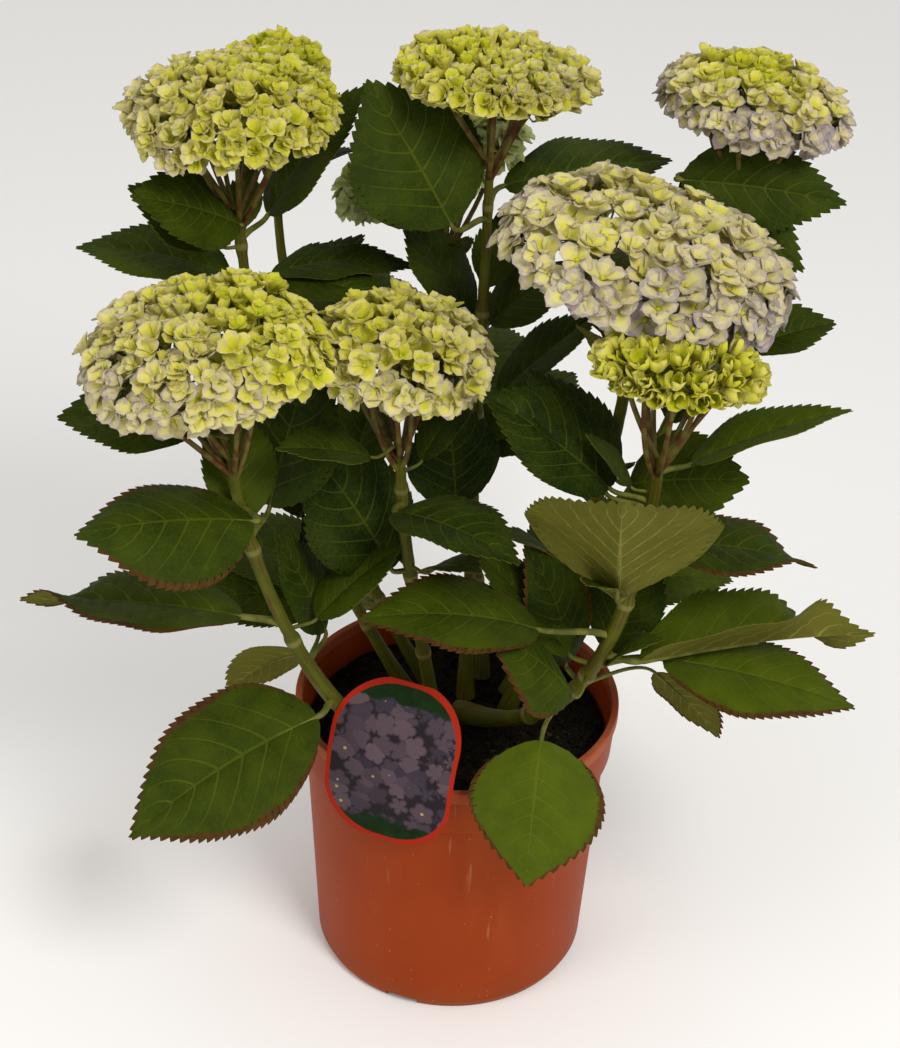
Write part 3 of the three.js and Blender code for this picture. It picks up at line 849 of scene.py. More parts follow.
class Nodes:
    """Short calls that add shader nodes to one new material."""

    def __init__(self, name, roughness=0.6, **sockets):
        self.material = bpy.data.materials.new(name)
        self.material.use_nodes = True
        self.tree = self.material.node_tree
        self.shader = self.tree.nodes["Principled BSDF"]
        self.set("Roughness", roughness)
        for socket, value in sockets.items():
            self.set(socket.replace("_", " "), value)

    def set(self, socket, value):
        self.feed(self.shader.inputs[socket], value)

    def feed(self, socket, value):
        if isinstance(value, bpy.types.NodeSocket):
            self.tree.links.new(value, socket)
        elif isinstance(value, tuple) and len(value) == 3 and socket.type == "RGBA":
            socket.default_value = (*value, 1)
        else:
            socket.default_value = value

    def add(self, kind, *values, **settings):
        node = self.tree.nodes.new("ShaderNode" + kind)
        for name, value in settings.items():
            setattr(node, name, value)
        for socket, value in zip(node.inputs, values):
            if value is not None:
                self.feed(socket, value)
        return node

    def maths(self, operation, *values):
        return self.add("Math", *values, operation=operation).outputs[0]

    def times(self, a, b):
        return self.maths("MULTIPLY", a, b)

    def plus(self, a, b):
        return self.maths("ADD", a, b)

    def minus(self, a, b):
        return self.maths("SUBTRACT", a, b)

    def noise(self, scale, detail=3.0, vector=None):
        node = self.add("TexNoise")
        node.inputs["Scale"].default_value = scale
        node.inputs["Detail"].default_value = detail
        self.feed(node.inputs["Vector"], vector or self.place())
        return node.outputs["Fac"]

    def place(self):
        return self.add("TexCoord").outputs["Object"]

    def parts(self, vector):
        """The three numbers of a vector."""
        return self.add("SeparateXYZ", vector).outputs

    def grid_place(self):
        """How far along and across its own grid a point of the piece is."""
        return self.parts(self.add("UVMap", uv_map="Blade").outputs[0])[:2]

    def stretched(self, vector, scale):
        node = self.add("Mapping", vector)
        node.inputs["Scale"].default_value = scale
        return node.outputs[0]

    def between(self, value, low, high):
        """0 below low, 1 above high, smooth in between; low may be the larger."""
        node = self.add("MapRange", value, low, high, interpolation_type="SMOOTHSTEP")
        return node.outputs[0]

    def mix(self, share, a, b):
        node = self.add("Mix", data_type="RGBA")
        self.feed(node.inputs["Factor"], share)
        self.feed(node.inputs[6], a)
        self.feed(node.inputs[7], b)
        return node.outputs[2]

    def over(self, base, colour, mask, strength):
        """A layer of colour over the base, where and as much as the mask and strength say."""
        return self.mix(self.times(mask, strength), base, colour)

    def bump(self, height, strength=0.5, distance=MM):
        node = self.add("Bump")
        node.inputs["Strength"].default_value = strength
        node.inputs["Distance"].default_value = distance
        self.feed(node.inputs["Height"], height)
        self.set("Normal", node.outputs[0])


def blade_veins(nodes):
    """Masks of a blade: the midrib with its side veins, the fine net, and v from rib to margin."""
    share, across = nodes.grid_place()
    v = nodes.maths("ABSOLUTE", nodes.maths("MULTIPLY_ADD", across, 2.0, -1.0))
    lean = nodes.times(nodes.maths("POWER", v, VEIN_BEND), VEIN_LEAN)
    phase = nodes.times(nodes.minus(share, lean), float(VEIN_PAIRS))
    off = nodes.maths("PINGPONG", phase, 0.5)
    width = nodes.minus(0.085, nodes.times(v, 0.055))
    side = nodes.between(nodes.minus(width, off), 0.0, 0.035)
    side = nodes.times(side, nodes.between(phase, -0.02, 0.05))
    rib_width = nodes.minus(0.042, nodes.times(share, 0.026))
    rib = nodes.between(nodes.minus(rib_width, v), 0.0, 0.014)
    veins = nodes.maths("MAXIMUM", side, rib)
    net = nodes.add("TexVoronoi", feature="DISTANCE_TO_EDGE")
    net.inputs["Scale"].default_value = 260
    nodes.feed(net.inputs["Vector"], nodes.place())
    fine = nodes.between(net.outputs[0], 0.10, 0.0)
    return veins, fine, v


def leaf_material(name, look, worn=False):
    """A blade's surface: mottled green, paler veins, a fine net, a green level of its own that is
    darkened as painted shade on inner leaves, browned if worn.
    """
    dark, light, vein, vein_share, roughness, relief = look
    nodes = Nodes(name, roughness, Specular_IOR_Level=0.06)
    veins, fine, v = blade_veins(nodes)
    # Painted shade: this value per point holds each leaf's own green level and, for the inner leaves,
    # a darker level that stands in for the shade inside the canopy.
    tone = nodes.add("Attribute", attribute_name="tone").outputs["Fac"]
    mottle = nodes.between(nodes.noise(55, 4.0), 0.3, 0.7)
    level = nodes.plus(nodes.times(tone, 0.60), nodes.times(mottle, 0.15))
    green = nodes.mix(level, dark, light)
    green = nodes.over(green, vein, fine, 0.10)
    green = nodes.over(green, vein, veins, vein_share)
    if worn:
        drift = nodes.times(nodes.noise(34, 2.0), 0.34)
        crumbs = nodes.times(nodes.noise(260, 2.0), 0.08)
        edge = nodes.plus(v, nodes.plus(drift, crumbs))
        brown = nodes.mix(nodes.noise(180, 3.0), (0.026, 0.010, 0.002), (0.105, 0.050, 0.011))
        green = nodes.mix(nodes.between(edge, 1.07, 1.14), green, brown)
    nodes.set("Base Color", green)
    height = nodes.plus(nodes.times(veins, relief), nodes.times(fine, 0.35 * relief))
    nodes.bump(height, 0.6, 0.5 * MM)
    return nodes.material


def petal_material(name, tint):
    """One plain tint: a head's place-bound colours are dealt out over several of these."""
    found = bpy.data.materials.get(name)
    if found:
        return found
    soft = dict(Subsurface_Weight=0.3, Subsurface_Radius=(1.0, 1.0, 0.4), Subsurface_Scale=2 * MM)
    return Nodes(name, 0.6, Specular_IOR_Level=0.12, Base_Color=tint, **soft).material


def cane_material():
    """Green bark with long brown streaks, pale specks, and a pale scar round each node."""
    nodes = Nodes("cane_skin", 0.55, Specular_IOR_Level=0.12)
    travelled, turn = nodes.grid_place()
    around = nodes.add("CombineXYZ", nodes.times(travelled, 14.0), nodes.times(turn, 9.0)).outputs[0]
    streaks = nodes.between(nodes.noise(2.2, 4.0, around), 0.50, 0.62)
    place = nodes.place()
    green = nodes.mix(nodes.noise(60, 3.0, place), (0.042, 0.052, 0.002), (0.095, 0.108, 0.007))
    brown = nodes.over(green, (0.080, 0.026, 0.006), streaks, 0.75)
    specks = nodes.between(nodes.noise(700, 1.0, place), 0.70, 0.76)
    speckled = nodes.over(brown, (0.15, 0.105, 0.04), specks, 0.7)
    off = nodes.maths("PINGPONG", travelled, NODE_SPACING / 2)
    past = nodes.between(travelled, 0.6 * NODE_SPACING, 0.7 * NODE_SPACING)
    ring = nodes.times(nodes.between(off, 3.2 * MM, 1.0 * MM), past)
    nodes.set("Base Color", nodes.over(speckled, (0.18, 0.16, 0.045), ring, 0.7))
    nodes.bump(nodes.plus(streaks, specks), 0.35, 0.4 * MM)
    return nodes.material


def stalk_material(name, low, high, scale):
    """Thin stalks: two colours in soft patches."""
    nodes = Nodes(name, 0.6, Specular_IOR_Level=0.2)
    nodes.set("Base Color", nodes.mix(nodes.between(nodes.noise(scale, 3.0), 0.35, 0.65), low, high))
    return nodes.material


def pot_material():
    """Scuffed moulded plastic: mottling, upright rubs, fine scratches, dust at the foot, and a
    painted highlight near the rim.
    """
    nodes = Nodes("pot_plastic", 0.5, Specular_IOR_Level=0.07)
    place = nodes.place()
    height = nodes.parts(place)[2]
    mottle = nodes.noise(18, 5.0, place)
    base = nodes.mix(mottle, (0.235, 0.030, 0.002), (0.300, 0.043, 0.004))
    rubs = nodes.between(nodes.noise(26, 6.0, nodes.stretched(place, (1, 1, 0.16))), 0.56, 0.78)
    base = nodes.over(base, (0.36, 0.085, 0.020), rubs, 0.28)
    scratches = nodes.between(nodes.noise(130, 2.0, nodes.stretched(place, (1, 1, 0.07))), 0.70, 0.74)
    base = nodes.over(base, (0.45, 0.19, 0.09), scratches, 0.35)
    chips = nodes.between(nodes.noise(320, 1.0, place), 0.76, 0.79)
    base = nodes.over(base, (0.48, 0.22, 0.11), chips, 0.6)
    dust = nodes.times(nodes.between(height, 0.035, 0.0), nodes.noise(70, 4.0, place))
    base = nodes.over(base, (0.20, 0.07, 0.025), dust, 0.5)
    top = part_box(POT)[1].z
    # Painted highlight: a paler, mottled band over the top 8 mm of the pot, near the rim, stands in
    # for light caught along its edge.
    lip_highlight = nodes.between(height, top - 9 * MM, top - 8 * MM)
    lip_highlight = nodes.times(lip_highlight, nodes.noise(50, 4.0, place))
    nodes.set("Base Color", nodes.over(base, (0.46, 0.17, 0.08), lip_highlight, 0.55))
    nodes.set("Roughness", nodes.maths("MULTIPLY_ADD", rubs, 0.16, 0.46))
    nodes.bump(nodes.plus(nodes.noise(900, 2.0, place), scratches), 0.12, 0.2 * MM)
    return nodes.material


def soil_material():
    """Wet dark compost with a few lighter bits of bark."""
    nodes = Nodes("compost", 0.95, Specular_IOR_Level=0.1)
    place = nodes.place()
    grains = nodes.between(nodes.noise(420, 5.0, place), 0.35, 0.7)
    bits = nodes.between(nodes.noise(150, 2.0, place), 0.66, 0.70)
    base = nodes.mix(grains, (0.0025, 0.0025, 0.0012), (0.016, 0.011, 0.005))
    nodes.set("Base Color", nodes.over(base, (0.075, 0.04, 0.018), bits, 0.6))
    nodes.bump(grains, 0.8, 1.0 * MM)
    return nodes.material


def tag_material():
    """A printed label: red border, dark green ground and a generic clump of mauve flowers."""
    nodes = Nodes("label_print", 0.5, Specular_IOR_Level=0.04)
    rise, across = nodes.grid_place()
    print_place = nodes.add("CombineXYZ", rise, nodes.times(across, TAG_RATIO)).outputs[0]
    ground = nodes.noise(14, 4.0, print_place)
    ground = nodes.mix(ground, (0.002, 0.006, 0.002), (0.012, 0.038, 0.008))
    cells = nodes.add("TexVoronoi")
    cells.inputs["Scale"].default_value = 10.5
    nodes.feed(cells.inputs["Vector"], print_place)
    shade = nodes.parts(cells.outputs["Color"])[0]
    middle = cells.outputs["Position"]
    local = nodes.add("VectorMath", print_place, middle, operation="SUBTRACT").outputs[0]
    local = nodes.parts(local)
    turn = nodes.times(nodes.maths("ARCTAN2", local[1], local[0]), 2.5)
    turn = nodes.plus(turn, nodes.times(shade, 6.0))
    lobes = nodes.times(nodes.maths("ABSOLUTE", nodes.maths("COSINE", turn)), 0.22)
    from_edge = nodes.minus(nodes.plus(lobes, 0.52), cells.outputs["Distance"])
    petals = nodes.mix(shade, (0.026, 0.019, 0.034), (0.112, 0.074, 0.086))
    creases = nodes.times(nodes.noise(40, 2.0, print_place), 0.6)
    petals = nodes.mix(creases, petals, (0.060, 0.047, 0.058))
    petals = nodes.mix(nodes.between(from_edge, 0.09, -0.16), petals, (0.018, 0.014, 0.017))
    hearts = nodes.between(cells.outputs["Distance"], 0.13, 0.08)
    petals = nodes.mix(hearts, petals, (0.34, 0.29, 0.11))
    from_mid = nodes.maths("ABSOLUTE", nodes.minus(rise, 0.5))
    from_axis = nodes.maths("MULTIPLY_ADD", across, TAG_RATIO, -TAG_RATIO / 2)
    from_axis = nodes.maths("ABSOLUTE", from_axis)
    ragged = nodes.plus(from_mid, nodes.times(nodes.noise(9, 2.0, print_place), 0.16))
    print_colour = nodes.mix(nodes.between(ragged, 0.46, 0.43), ground, petals)
    corner = TAG_CORNER * TAG_RATIO / 2
    past_x = nodes.maths("MAXIMUM", nodes.minus(from_mid, 0.5 - corner), 0.0)
    past_y = nodes.maths("MAXIMUM", nodes.minus(from_axis, TAG_RATIO / 2 - corner), 0.0)
    reach = nodes.plus(nodes.maths("POWER", past_x, 2.0), nodes.maths("POWER", past_y, 2.0))
    from_rim = nodes.minus(corner, nodes.maths("SQRT", reach))
    border = nodes.between(from_rim, BORDER + 0.003, BORDER - 0.003)
    nodes.set("Base Color", nodes.mix(border, print_colour, (0.33, 0.018, 0.006)))
    return nodes.material


def border_material():
    nodes = Nodes("label_border", 0.4, Coat_Weight=0.05, Specular_IOR_Level=0.12)
    red = nodes.mix(nodes.noise(80, 3.0), (0.21, 0.013, 0.004), (0.32, 0.030, 0.008))
    nodes.set("Base Color", red)
    return nodes.material


STALK_MATERIAL = stalk_material("branch_skin", (0.085, 0.029, 0.008), (0.125, 0.110, 0.018), 110)
PEDICEL_MATERIAL = Nodes("pedicel_skin", 0.6, Base_Color=(0.16, 0.165, 0.03)).material
PETIOLE_MATERIAL = stalk_material("petiole_skin", (0.065, 0.072, 0.006), (0.135, 0.142, 0.020), 90)
CANE_MATERIAL = cane_material()
# Dark green, light green, veins and how much they show, roughness, and relief of the veins.
LEAF_TOP = ((0.008, 0.017, 0.001), (0.098, 0.136, 0.004), (0.115, 0.150, 0.012), 0.27, 0.6, -1.4)
LEAF_UNDER = ((0.055, 0.058, 0.005), (0.150, 0.140, 0.020), (0.24, 0.225, 0.055), 0.5, 0.75, 1.0)
LEAF_MATERIALS = [
    leaf_material("leaf_top", LEAF_TOP),
    leaf_material("leaf_under", LEAF_UNDER),
    leaf_material("leaf_top_worn", LEAF_TOP, worn=True),
    leaf_material("leaf_under_worn", LEAF_UNDER, worn=True),
]

# ---------------------------------------------------------------- pot


def lathe(profile, sides):
    """A solid of revolution about +Z from (radius, height) points, first and last on the axis."""
    turn = 2 * math.pi * np.arange(sides) / sides
    rings = [[(r * math.cos(t), r * math.sin(t), z) for t in turn] for r, z in profile[1:-1]]
    ends = [(0, 0, profile[0][1]), (0, 0, profile[-1][1])]
    return np.concatenate([np.array(rings).reshape(-1, 3), ends]), *capped_faces(len(rings), sides)


def rounded(corners, radius, steps=4):
    """A profile with each inner corner replaced by a short arc."""
    corners = [np.array(c, float) for c in corners]
    profile = [corners[0]]
    for before, corner, after in zip(corners, corners[1:], corners[2:]):
        back = before - corner
        ahead = after - corner
        cut = min(radius, np.linalg.norm(back) * 0.45, np.linalg.norm(ahead) * 0.45)
        start = corner + unit(back) * cut
        end = corner + unit(ahead) * cut
        for s in np.linspace(0, 1, steps):
            profile.append((1 - s) ** 2 * start + 2 * s * (1 - s) * corner + s**2 * end)
    profile.append(corners[-1])
    return profile


POT_SIDES = 192
COLLAR_SHARE = 0.178
NECK_SHARE = 0.935
FOOT_SHARE = 0.852
POT_WALL = 2.6 * MM
POT_FLOOR = 4 * MM
LIP_WIDTH = 5 * MM
FOOT_RING = 1.5 * MM
POT_ROUNDING = 1.4 * MM
NOTCH_HEADINGS = (-20, 70, 160, 250)
NOTCH_WIDTH = 24 * MM
NOTCH_HEIGHT = 6 * MM


def build_pot():
    """The turned pot, hollow and open at the top, with its foot ring, collar and a band round the
    rim.
    """
    low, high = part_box(POT)
    rim = (high.x - low.x) / 2
    tall = high.z - low.z
    collar = tall * (1 - COLLAR_SHARE)
    neck = rim * NECK_SHARE
    foot = rim * FOOT_SHARE
    outside = [
        (0, FOOT_RING),
        (foot - 14 * MM, FOOT_RING),
        (foot - 12 * MM, 0),
        (foot - 3 * MM, 0),
        (foot, 6 * MM),
        (foot + 0.5 * MM, 7 * MM),
        (neck, collar - 0.5 * MM),
        (rim - 3.4 * MM, collar + 0.8 * MM),
        (rim - 1.6 * MM, tall - 10 * MM),
        (rim, tall - 8.5 * MM),
        (rim, tall),
    ]
    inside = [
        (rim - LIP_WIDTH, tall),
        (rim - LIP_WIDTH, tall - 8 * MM),
        (neck - POT_WALL, collar),
        (foot - POT_WALL, POT_FLOOR),
        (0, POT_FLOOR),
    ]
    points, walls, fans = lathe(rounded(outside + inside, POT_ROUNDING), POT_SIDES)
    pile = Pile()
    pile.add(points, walls, fans=fans)
    pot = pile.build("pot_moulded", "pot", [pot_material()], [POT], sharp=60)
    cut_notches(pot, foot)


def cut_notches(pot, foot):
    """Bites the drain notches out of the foot ring with boxes, and keeps the cut mesh."""
    cutters = Pile()
    for heading in NOTCH_HEADINGS:
        out = heading_of(heading)
        side = heading_of(heading + 90)
        corners = [
            out * (foot + x * MM) + side * y * NOTCH_WIDTH / 2 + UP * z
            for z in (-5 * MM, NOTCH_HEIGHT)
            for x, y in ((-9, -1), (6, -1), (6, 1), (-9, 1))
        ]
        faces = [(3, 2, 1, 0), (4, 5, 6, 7), (0, 1, 5, 4), (1, 2, 6, 5), (2, 3, 7, 6), (3, 0, 4, 7)]
        cutters.add(corners, faces)
    tool = cutters.build("notch_tool", "pot", [])
    cut = pot.modifiers.new("notches", "BOOLEAN")
    cut.operation = "DIFFERENCE"
    cut.solver = "EXACT"
    cut.object = tool
    bpy.context.view_layer.update()
    evaluated = pot.evaluated_get(bpy.context.evaluated_depsgraph_get())
    cut_mesh = bpy.data.meshes.new_from_object(evaluated)
    pot.modifiers.clear()
    pot.data = cut_mesh
    bpy.data.objects.remove(tool)


# ---------------------------------------------------------------- soil

SOIL_RINGS = 46
SOIL_SIDES = 150
CRUMBS = 900


def build_soil():
    """A closed plug of compost with an uneven top, strewn with crumbs."""
    low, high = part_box(SOIL)
    rng = np.random.default_rng(SEED)
    reach = (high.x - low.x) / 2 - 0.5 * MM
    level = high.z - 2 * MM
    turn = 2 * math.pi * np.arange(SOIL_SIDES) / SOIL_SIDES
    spread = np.stack([np.cos(turn), np.sin(turn)], axis=1)
    rows = []
    for k in range(1, SOIL_RINGS + 1):
        radius = reach * k / SOIL_RINGS
        places = np.concatenate([spread * radius, np.zeros((SOIL_SIDES, 1))], axis=1)
        places[:, 2] = level + 1.6 * MM * wave_noise(places, 3, 90) - 3 * MM * (k / SOIL_RINGS) ** 8
        rows.append(places)
    deep = rows[-1].copy()
    deep[:, 2] = low.z
    deep[:, :2] *= 0.9
    rows.append(deep)
    points = np.concatenate([*rows, [[0, 0, level]], [[0, 0, low.z]]])
    walls, fans = capped_faces(len(rows), SOIL_SIDES)
    pile = Pile()
    pile.add(points, walls[:, ::-1], fans=fans[:, ::-1])
    for _ in range(CRUMBS):
        away = math.sqrt(rng.uniform(0, 0.97)) * reach * 0.97
        heading = rng.uniform(0, 360)
        at = heading_of(heading) * away + UP * (level + rng.uniform(-1, 1.5) * MM)
        add_crumb(pile, at, rng.uniform(1.2, 3.8) * MM * rng.uniform(0.6, 1.2), rng)
    pile.build("compost_top", "soil", [soil_material()], [SOIL], sharp=40)


def add_crumb(pile, at, size, rng):
    """A small uneven lump: an octahedron pushed out of shape."""
    corners = np.array([[1, 0, 0], [0, 1, 0], [-1, 0, 0], [0, -1, 0], [0, 0, 1], [0, 0, -1]], float)
    corners = corners * rng.uniform(0.6, 1.3, (6, 1)) * size * np.array([1, rng.uniform(0.5, 1), 0.7])
    corners = corners @ turned(unit(rng.normal(size=3)), rng.uniform(0, 360)).T
    faces = [(0, 1, 4), (1, 2, 4), (2, 3, 4), (3, 0, 4), (1, 0, 5), (2, 1, 5), (3, 2, 5), (0, 3, 5)]
    pile.add(corners + at, faces)


# ---------------------------------------------------------------- label

TAG_RATIO = 0.75
TAG_ROWS = 61
TAG_COLUMNS = 25
TAG_THICKNESS = 0.9 * MM
TAG_CORNER = 0.9  # radius of the label's corners as a share of its half width
BORDER = 0.025  # width of the red border as a share of the label's height


def build_tag():
    """The picture label: the CAD plate's own bend, with a red border round the print."""
    points, triangles = solid_of(TAG)
    caps = end_caps(points, triangles, 4)
    foot = min(caps, key=lambda cap: points[list(cap), 2].mean())
    rings = rings_from(foot, neighbours_of(triangles))
    lefts, rights = [], []
    for ring in rings:
        places = points[ring]
        order = np.argsort(places[:, 0])
        lefts.append(places[order[:2]].mean(axis=0))
        rights.append(places[order[2:]].mean(axis=0))
    lefts, rights = np.array(lefts), np.array(rights)
    middles = (lefts + rights) / 2
    across = unit(rights[7] - lefts[7])
    travelled = distances(middles)
    tall = travelled[-1]
    middle_fit = np.polyfit(travelled / tall, middles, 6)
    rise = np.linspace(0, 1, TAG_ROWS)
    widest = np.linalg.norm(rights - lefts, axis=1).max() / 2
    ends = np.minimum(rise, 1 - rise) * tall + 1.5 * MM
    corner = widest * TAG_CORNER
    inset = corner - np.sqrt(np.maximum(corner**2 - (corner - np.minimum(ends, corner)) ** 2, 0))
    widths = widest - inset
    centres = along(middle_fit, rise)
    ways = unit(np.gradient(centres, axis=0))
    out = unit(np.cross(ways, across))
    out *= np.sign(out[0] @ np.array([0, -1, 0]))
    steps = np.linspace(-1, 1, TAG_COLUMNS)
    sheet = centres[:, None] + across * (widths[:, None] * steps)[:, :, None]
    lift = out[:, None] * TAG_THICKNESS / 2
    points = np.concatenate([(sheet + lift).reshape(-1, 3), (sheet - lift).reshape(-1, 3)])
    width_shares = (widths[:, None] * steps / widest).ravel() * 0.5 + 0.5
    uv = np.stack([np.repeat(rise, TAG_COLUMNS), width_shares], axis=1)
    faces = plate_faces(TAG_ROWS, TAG_COLUMNS)
    slots = np.repeat([0, 1, 2], [len(group) for group in faces])
    pile = Pile()
    pile.add(points, np.concatenate(faces), slots, np.concatenate([uv, uv]))
    plain = Nodes("label_back", 0.5)
    plain.set("Base Color", plain.mix(plain.noise(60), (0.55, 0.54, 0.50), (0.66, 0.65, 0.60)))
    pile.build("label", "label", [tag_material(), plain.material, border_material()], [TAG], sharp=40)


# ---------------------------------------------------------------- leaves of the whole plant

# Leaves whose margins are brown: how far on the left and on the right edge.
WORN = {
    "leaf_low_left": Wear(0.9, 0.7),
    "leaf_far_left": Wear(0.5, 0.9),
    "leaf_mid_left": Wear(0.45, 0.1),
    "leaf_right_mid_far": Wear(0.8, 0.2),
    "leaf_right_low": Wear(0.2, 0.7),
    "leaf_front_hang": Wear(0.85, 0.3),
    "leaf_centre_low": Wear(0.5, 0.1),
    "leaf_front_brown": Wear(0.7, 0.4),
    "leaf_centre_round": Wear(0.5, 0.2),
    "leaf_right_drop": Wear(0.3, 0.3),
}

# Leaves that are lighter or darker than their height alone would make them, from 0 to 1; the inner
# leaves set at or near 0 are darkened as painted shade.
LEAF_TONES_AND_SHADE = {
    "leaf_front_hang": 0.85,
    "leaf_right_far": 0.55,
    "leaf_right_low": 0.68,
    "leaf_rim_left": 0.75,
    "leaf_right_long": 0.55,
    "leaf_front_upright": 0.60,
    "leaf_low_left": 0.36,
    # Painted shade: these inner leaves are given the darkest level, which stands in for the shade
    # inside the canopy.
    "leaf_centre_top": 0.14,
    "leaf_centre_left": 0.0,
    "leaf_centre_dark": 0.0,
    "leaf_centre_fold": 0.0,
    "leaf_centre_round": 0.05,
    "leaf_left_tall": 0.0,
    "leaves_left_inner": 0.0,
    "leaves_right_tall": 0.05,
    "leaf_right_inner": 0.05,
}

HIGH_TONE = 0.22
LOW_TONE = 0.34
LOW_LEAVES = 0.36  # metres above the floor

# Leaves that turn over about their midribs: at the foot, at the tip, and where that begins.
CURLED = {
    "leaf_right_far": (-22, -150, 0.55),
    "leaf_right_mid_far": (0, -50, 0.6),
    "leaf_far_left": (0, 70, 0.6),
}

SPRAYS = {"leaves_rear": 3, "leaves": 2}  # how many leaves a pad of that name stands for
PAIR_LIFTS = {"leaves_left_top": 20 * MM}  # how far the first leaf of a pair stands off the pad


def blades_of(node):
    """The blades of a pad: itself, or two or three of them fanned over its outline."""
    pad = read_pad(node)
    if node in CURLED:
        pad = curled(pad, *CURLED[node])
    count = next((count for start, count in SPRAYS.items() if node.startswith(start)), 1)
    if count == 1:
        return [pad]
    if count == 2:
        lift = PAIR_LIFTS.get(node, 2 * MM)
        return [swung(pad, 13, 0.97, 0.74, lift), swung(pad, -15, 0.9, 0.70, -3 * MM)]
    return [
        swung(pad, 34, 0.88, 0.50, -4 * MM),
        swung(pad, -32, 0.86, 0.50, -7 * MM),
        swung(pad, 0, 1.0, 0.56, 4 * MM),
    ]


def build_leaves(canes):
    """Every pad's blades, each pad its own piece, and the stalks of all of them in one."""
    stalks = Pile()
    for node in PADS:
        rng = np.random.default_rng(SEED + 7 * PADS.index(node))
        pile = Pile()
        for blade in blades_of(node):
            foot = along(blade.middle, 0.0)[0]
            usual = LOW_TONE if foot[2] < LOW_LEAVES else HIGH_TONE
            # Painted shade: the inner leaves listed dark in the table above take a darker green here.
            tone = LEAF_TONES_AND_SHADE.get(node, usual) + rng.uniform(-0.08, 0.08)
            add_blade(pile, blade, rng, tone, WORN.get(node, HEALTHY))
            add_petiole(stalks, blade, canes)
        pile.build(node + "_blades", "foliage", LEAF_MATERIALS, [node], sharp=55)
    young = Pile()
    for blade, tone in small_blades(canes):
        add_blade(young, blade, np.random.default_rng(SEED), tone)
        add_petiole(stalks, blade, canes)
    young.build("young_leaves", "foliage", LEAF_MATERIALS, sharp=55)
    stalks.build("leaf_stalks", "stem", [PETIOLE_MATERIAL], sharp=80)


def add_petiole(pile, blade, canes):
    """A leaf stalk, grooved into the midrib at its upper end."""
    foot = along(blade.middle, 0.0)[0]
    way = unit(along(blade.middle, 0.08)[0] - foot)
    path = petiole_path(foot, way, canes)
    rib = along(blade.middle, np.linspace(0.02, 0.5, 9)) - unit(along(blade.up, 0.2)) * 0.9 * MM
    route = np.concatenate([path, rib])
    size = blade.length / USUAL_LENGTH
    radii = np.concatenate([np.linspace(2.6, 1.9, len(path)), np.linspace(1.5, 0.5, len(rib))])
    radii[0] *= 1.5
    add_tube(pile, route, radii * MM * np.clip(size, 0.5, 1.1), 8)


BARE_SHARE = 0.3  # of a cane's length, from its foot
INNER_SHARE = 0.72
YOUNG_LENGTHS = (0.036, 0.066)


def small_blades(canes):
    """Blades and their green levels for the pairs of small leaves at nodes, each pair turned from the
    last.
    """
    rng = random.Random(SEED)
    for number, cane in enumerate(canes):
        for level, k in enumerate(node_places(cane)):
            place = cane.path[k]
            share = k / len(cane.path)
            if share < BARE_SHARE:
                continue
            for side in (0, 180):
                heading = 90 * level + side + 37 * number + rng.uniform(-20, 20)
                behind = share < INNER_SHARE and math.sin(math.radians(heading)) > 0.15
                if rng.random() < (0.05 if behind else 0.35):  # a leaf that didn't grow
                    continue
                rise = rng.uniform(25, 60)
                foot = place + heading_of(heading, rise) * rng.uniform(0.012, 0.022)
                length = rng.uniform(*YOUNG_LENGTHS) * (1.55 if behind else 1.0)
                width = length * rng.uniform(0.5, 0.62)
                sag = rng.uniform(10, 45)
                blade = grown_blade(foot, heading, rise, length, width, sag, 0, 12)
                if outside_box(blade):
                    continue
                yield blade, rng.uniform(0.1, 0.4)


def outside_box(blade):
    """Whether a blade would stand out of the CAD model's box."""
    places = along(blade.middle, np.linspace(0, 1, 5))
    return bool((places < np.array(cad_low)).any() or (places > np.array(cad_high)).any())


# ---------------------------------------------------------------- stage, light and camera

CAMERA_LENS = 75.57
CAMERA_DISTANCE = 1.491
CAMERA_PITCH = 32.0
CAMERA_ROLL = 2.0
CAMERA_TARGET = Vector((-0.0094, 0.0, 0.3535))
FLOOR_REACH = 30.0
SKY_COLOUR = (1.0, 0.985, 0.96)
SKY_STRENGTH = 0.68
LAMP_TINT = (1.0, 0.97, 0.92)
LAMP_TARGET = Vector((0, 0, 0.3))


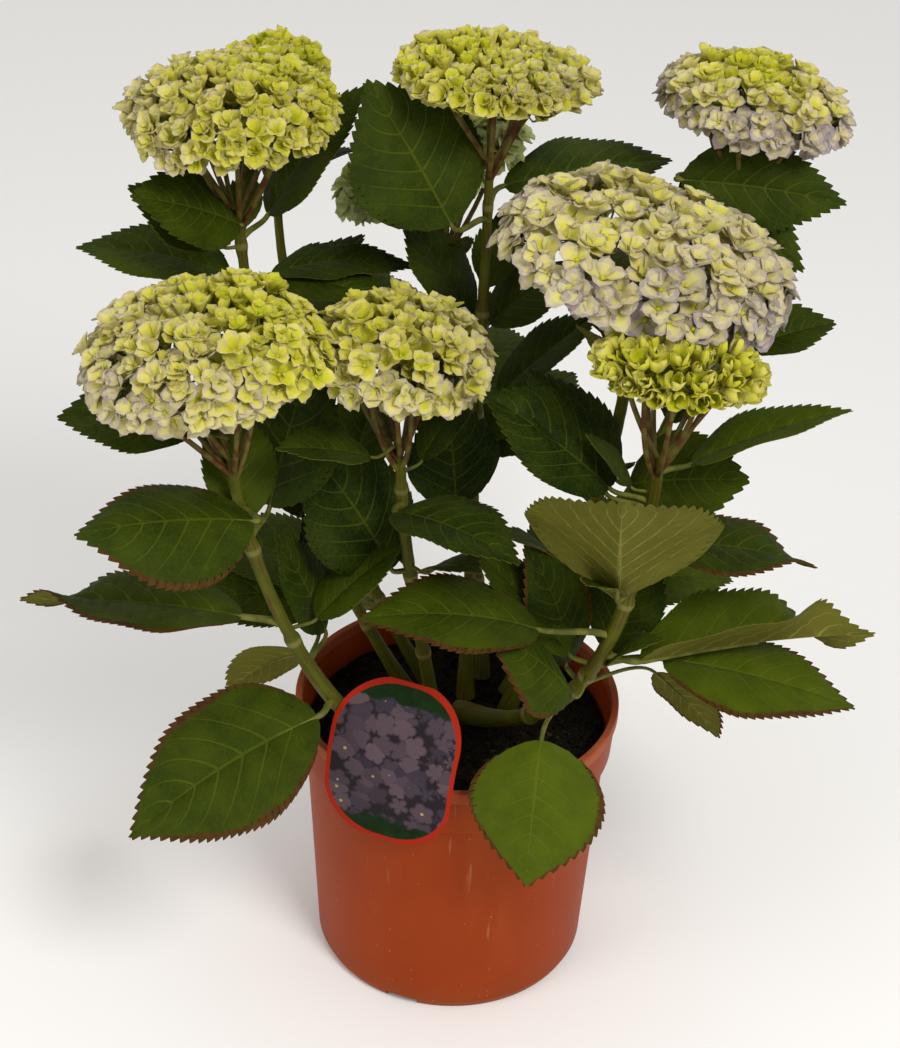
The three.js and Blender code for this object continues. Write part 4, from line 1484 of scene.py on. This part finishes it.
def build_camera():
    """The camera looks down at the middle of the plant, with a slight roll."""
    data = bpy.data.cameras.new("camera")
    data.lens = CAMERA_LENS
    data.sensor_width = 36
    data.clip_end = 50
    camera = placed("camera", data)
    pitch = math.radians(CAMERA_PITCH)
    ahead = Vector((0, math.cos(pitch), -math.sin(pitch)))
    upright = ahead.to_track_quat("-Z", "Y").to_matrix()
    roll = Matrix.Rotation(math.radians(CAMERA_ROLL), 3, ahead)
    camera.matrix_world = Matrix.Translation(CAMERA_TARGET - ahead * CAMERA_DISTANCE) @ (
        roll.inverted() @ upright
    ).to_4x4()
    bpy.context.scene.camera = camera


def area_light(name, place, size, power):
    data = bpy.data.lights.new(name, "AREA")
    data.shape = "DISK"
    data.size = size
    data.energy = power
    data.color = LAMP_TINT
    lamp = placed(name, data)
    lamp.location = place
    lamp.rotation_euler = (LAMP_TARGET - Vector(place)).to_track_quat("-Z", "Y").to_euler()


def build_stage():
    """A pale floor, a pale sky and two soft lamps."""
    mesh = bpy.data.meshes.new("floor")
    corners = [(x * FLOOR_REACH, y * FLOOR_REACH, 0) for x, y in ((-1, -1), (1, -1), (1, 1), (-1, 1))]
    mesh.from_pydata(corners, [], [(0, 1, 2, 3)])
    nodes = Nodes("floor_white", 0.9, Base_Color=(0.92, 0.92, 0.92))
    mesh.materials.append(nodes.material)
    floor = placed("floor", mesh)
    world = bpy.data.worlds.new("studio")
    world.use_nodes = True
    background = world.node_tree.nodes["Background"]
    background.inputs["Color"].default_value = (*SKY_COLOUR, 1)
    background.inputs["Strength"].default_value = SKY_STRENGTH
    bpy.context.scene.world = world
    area_light("key", (0.9, -1.6, 2.2), 0.9, 40)
    area_light("fill", (-1.6, -1.2, 1.4), 1.2, 10)
    bpy.context.scene.view_settings.view_transform = "Standard"


# ---------------------------------------------------------------- the whole plant


def main():
    canes = [read_cane(node) for node in CANES]
    build_camera()
    build_stage()
    build_pot()
    build_soil()
    build_tag()
    build_canes(canes)
    for node in HEADS:
        middle = np.array(sum(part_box(node), Vector())) / 2
        nearest = min(canes, key=lambda cane: np.linalg.norm(cane.path[-1] - middle))
        build_head(node, nearest.path)
    build_leaves(canes)


main()
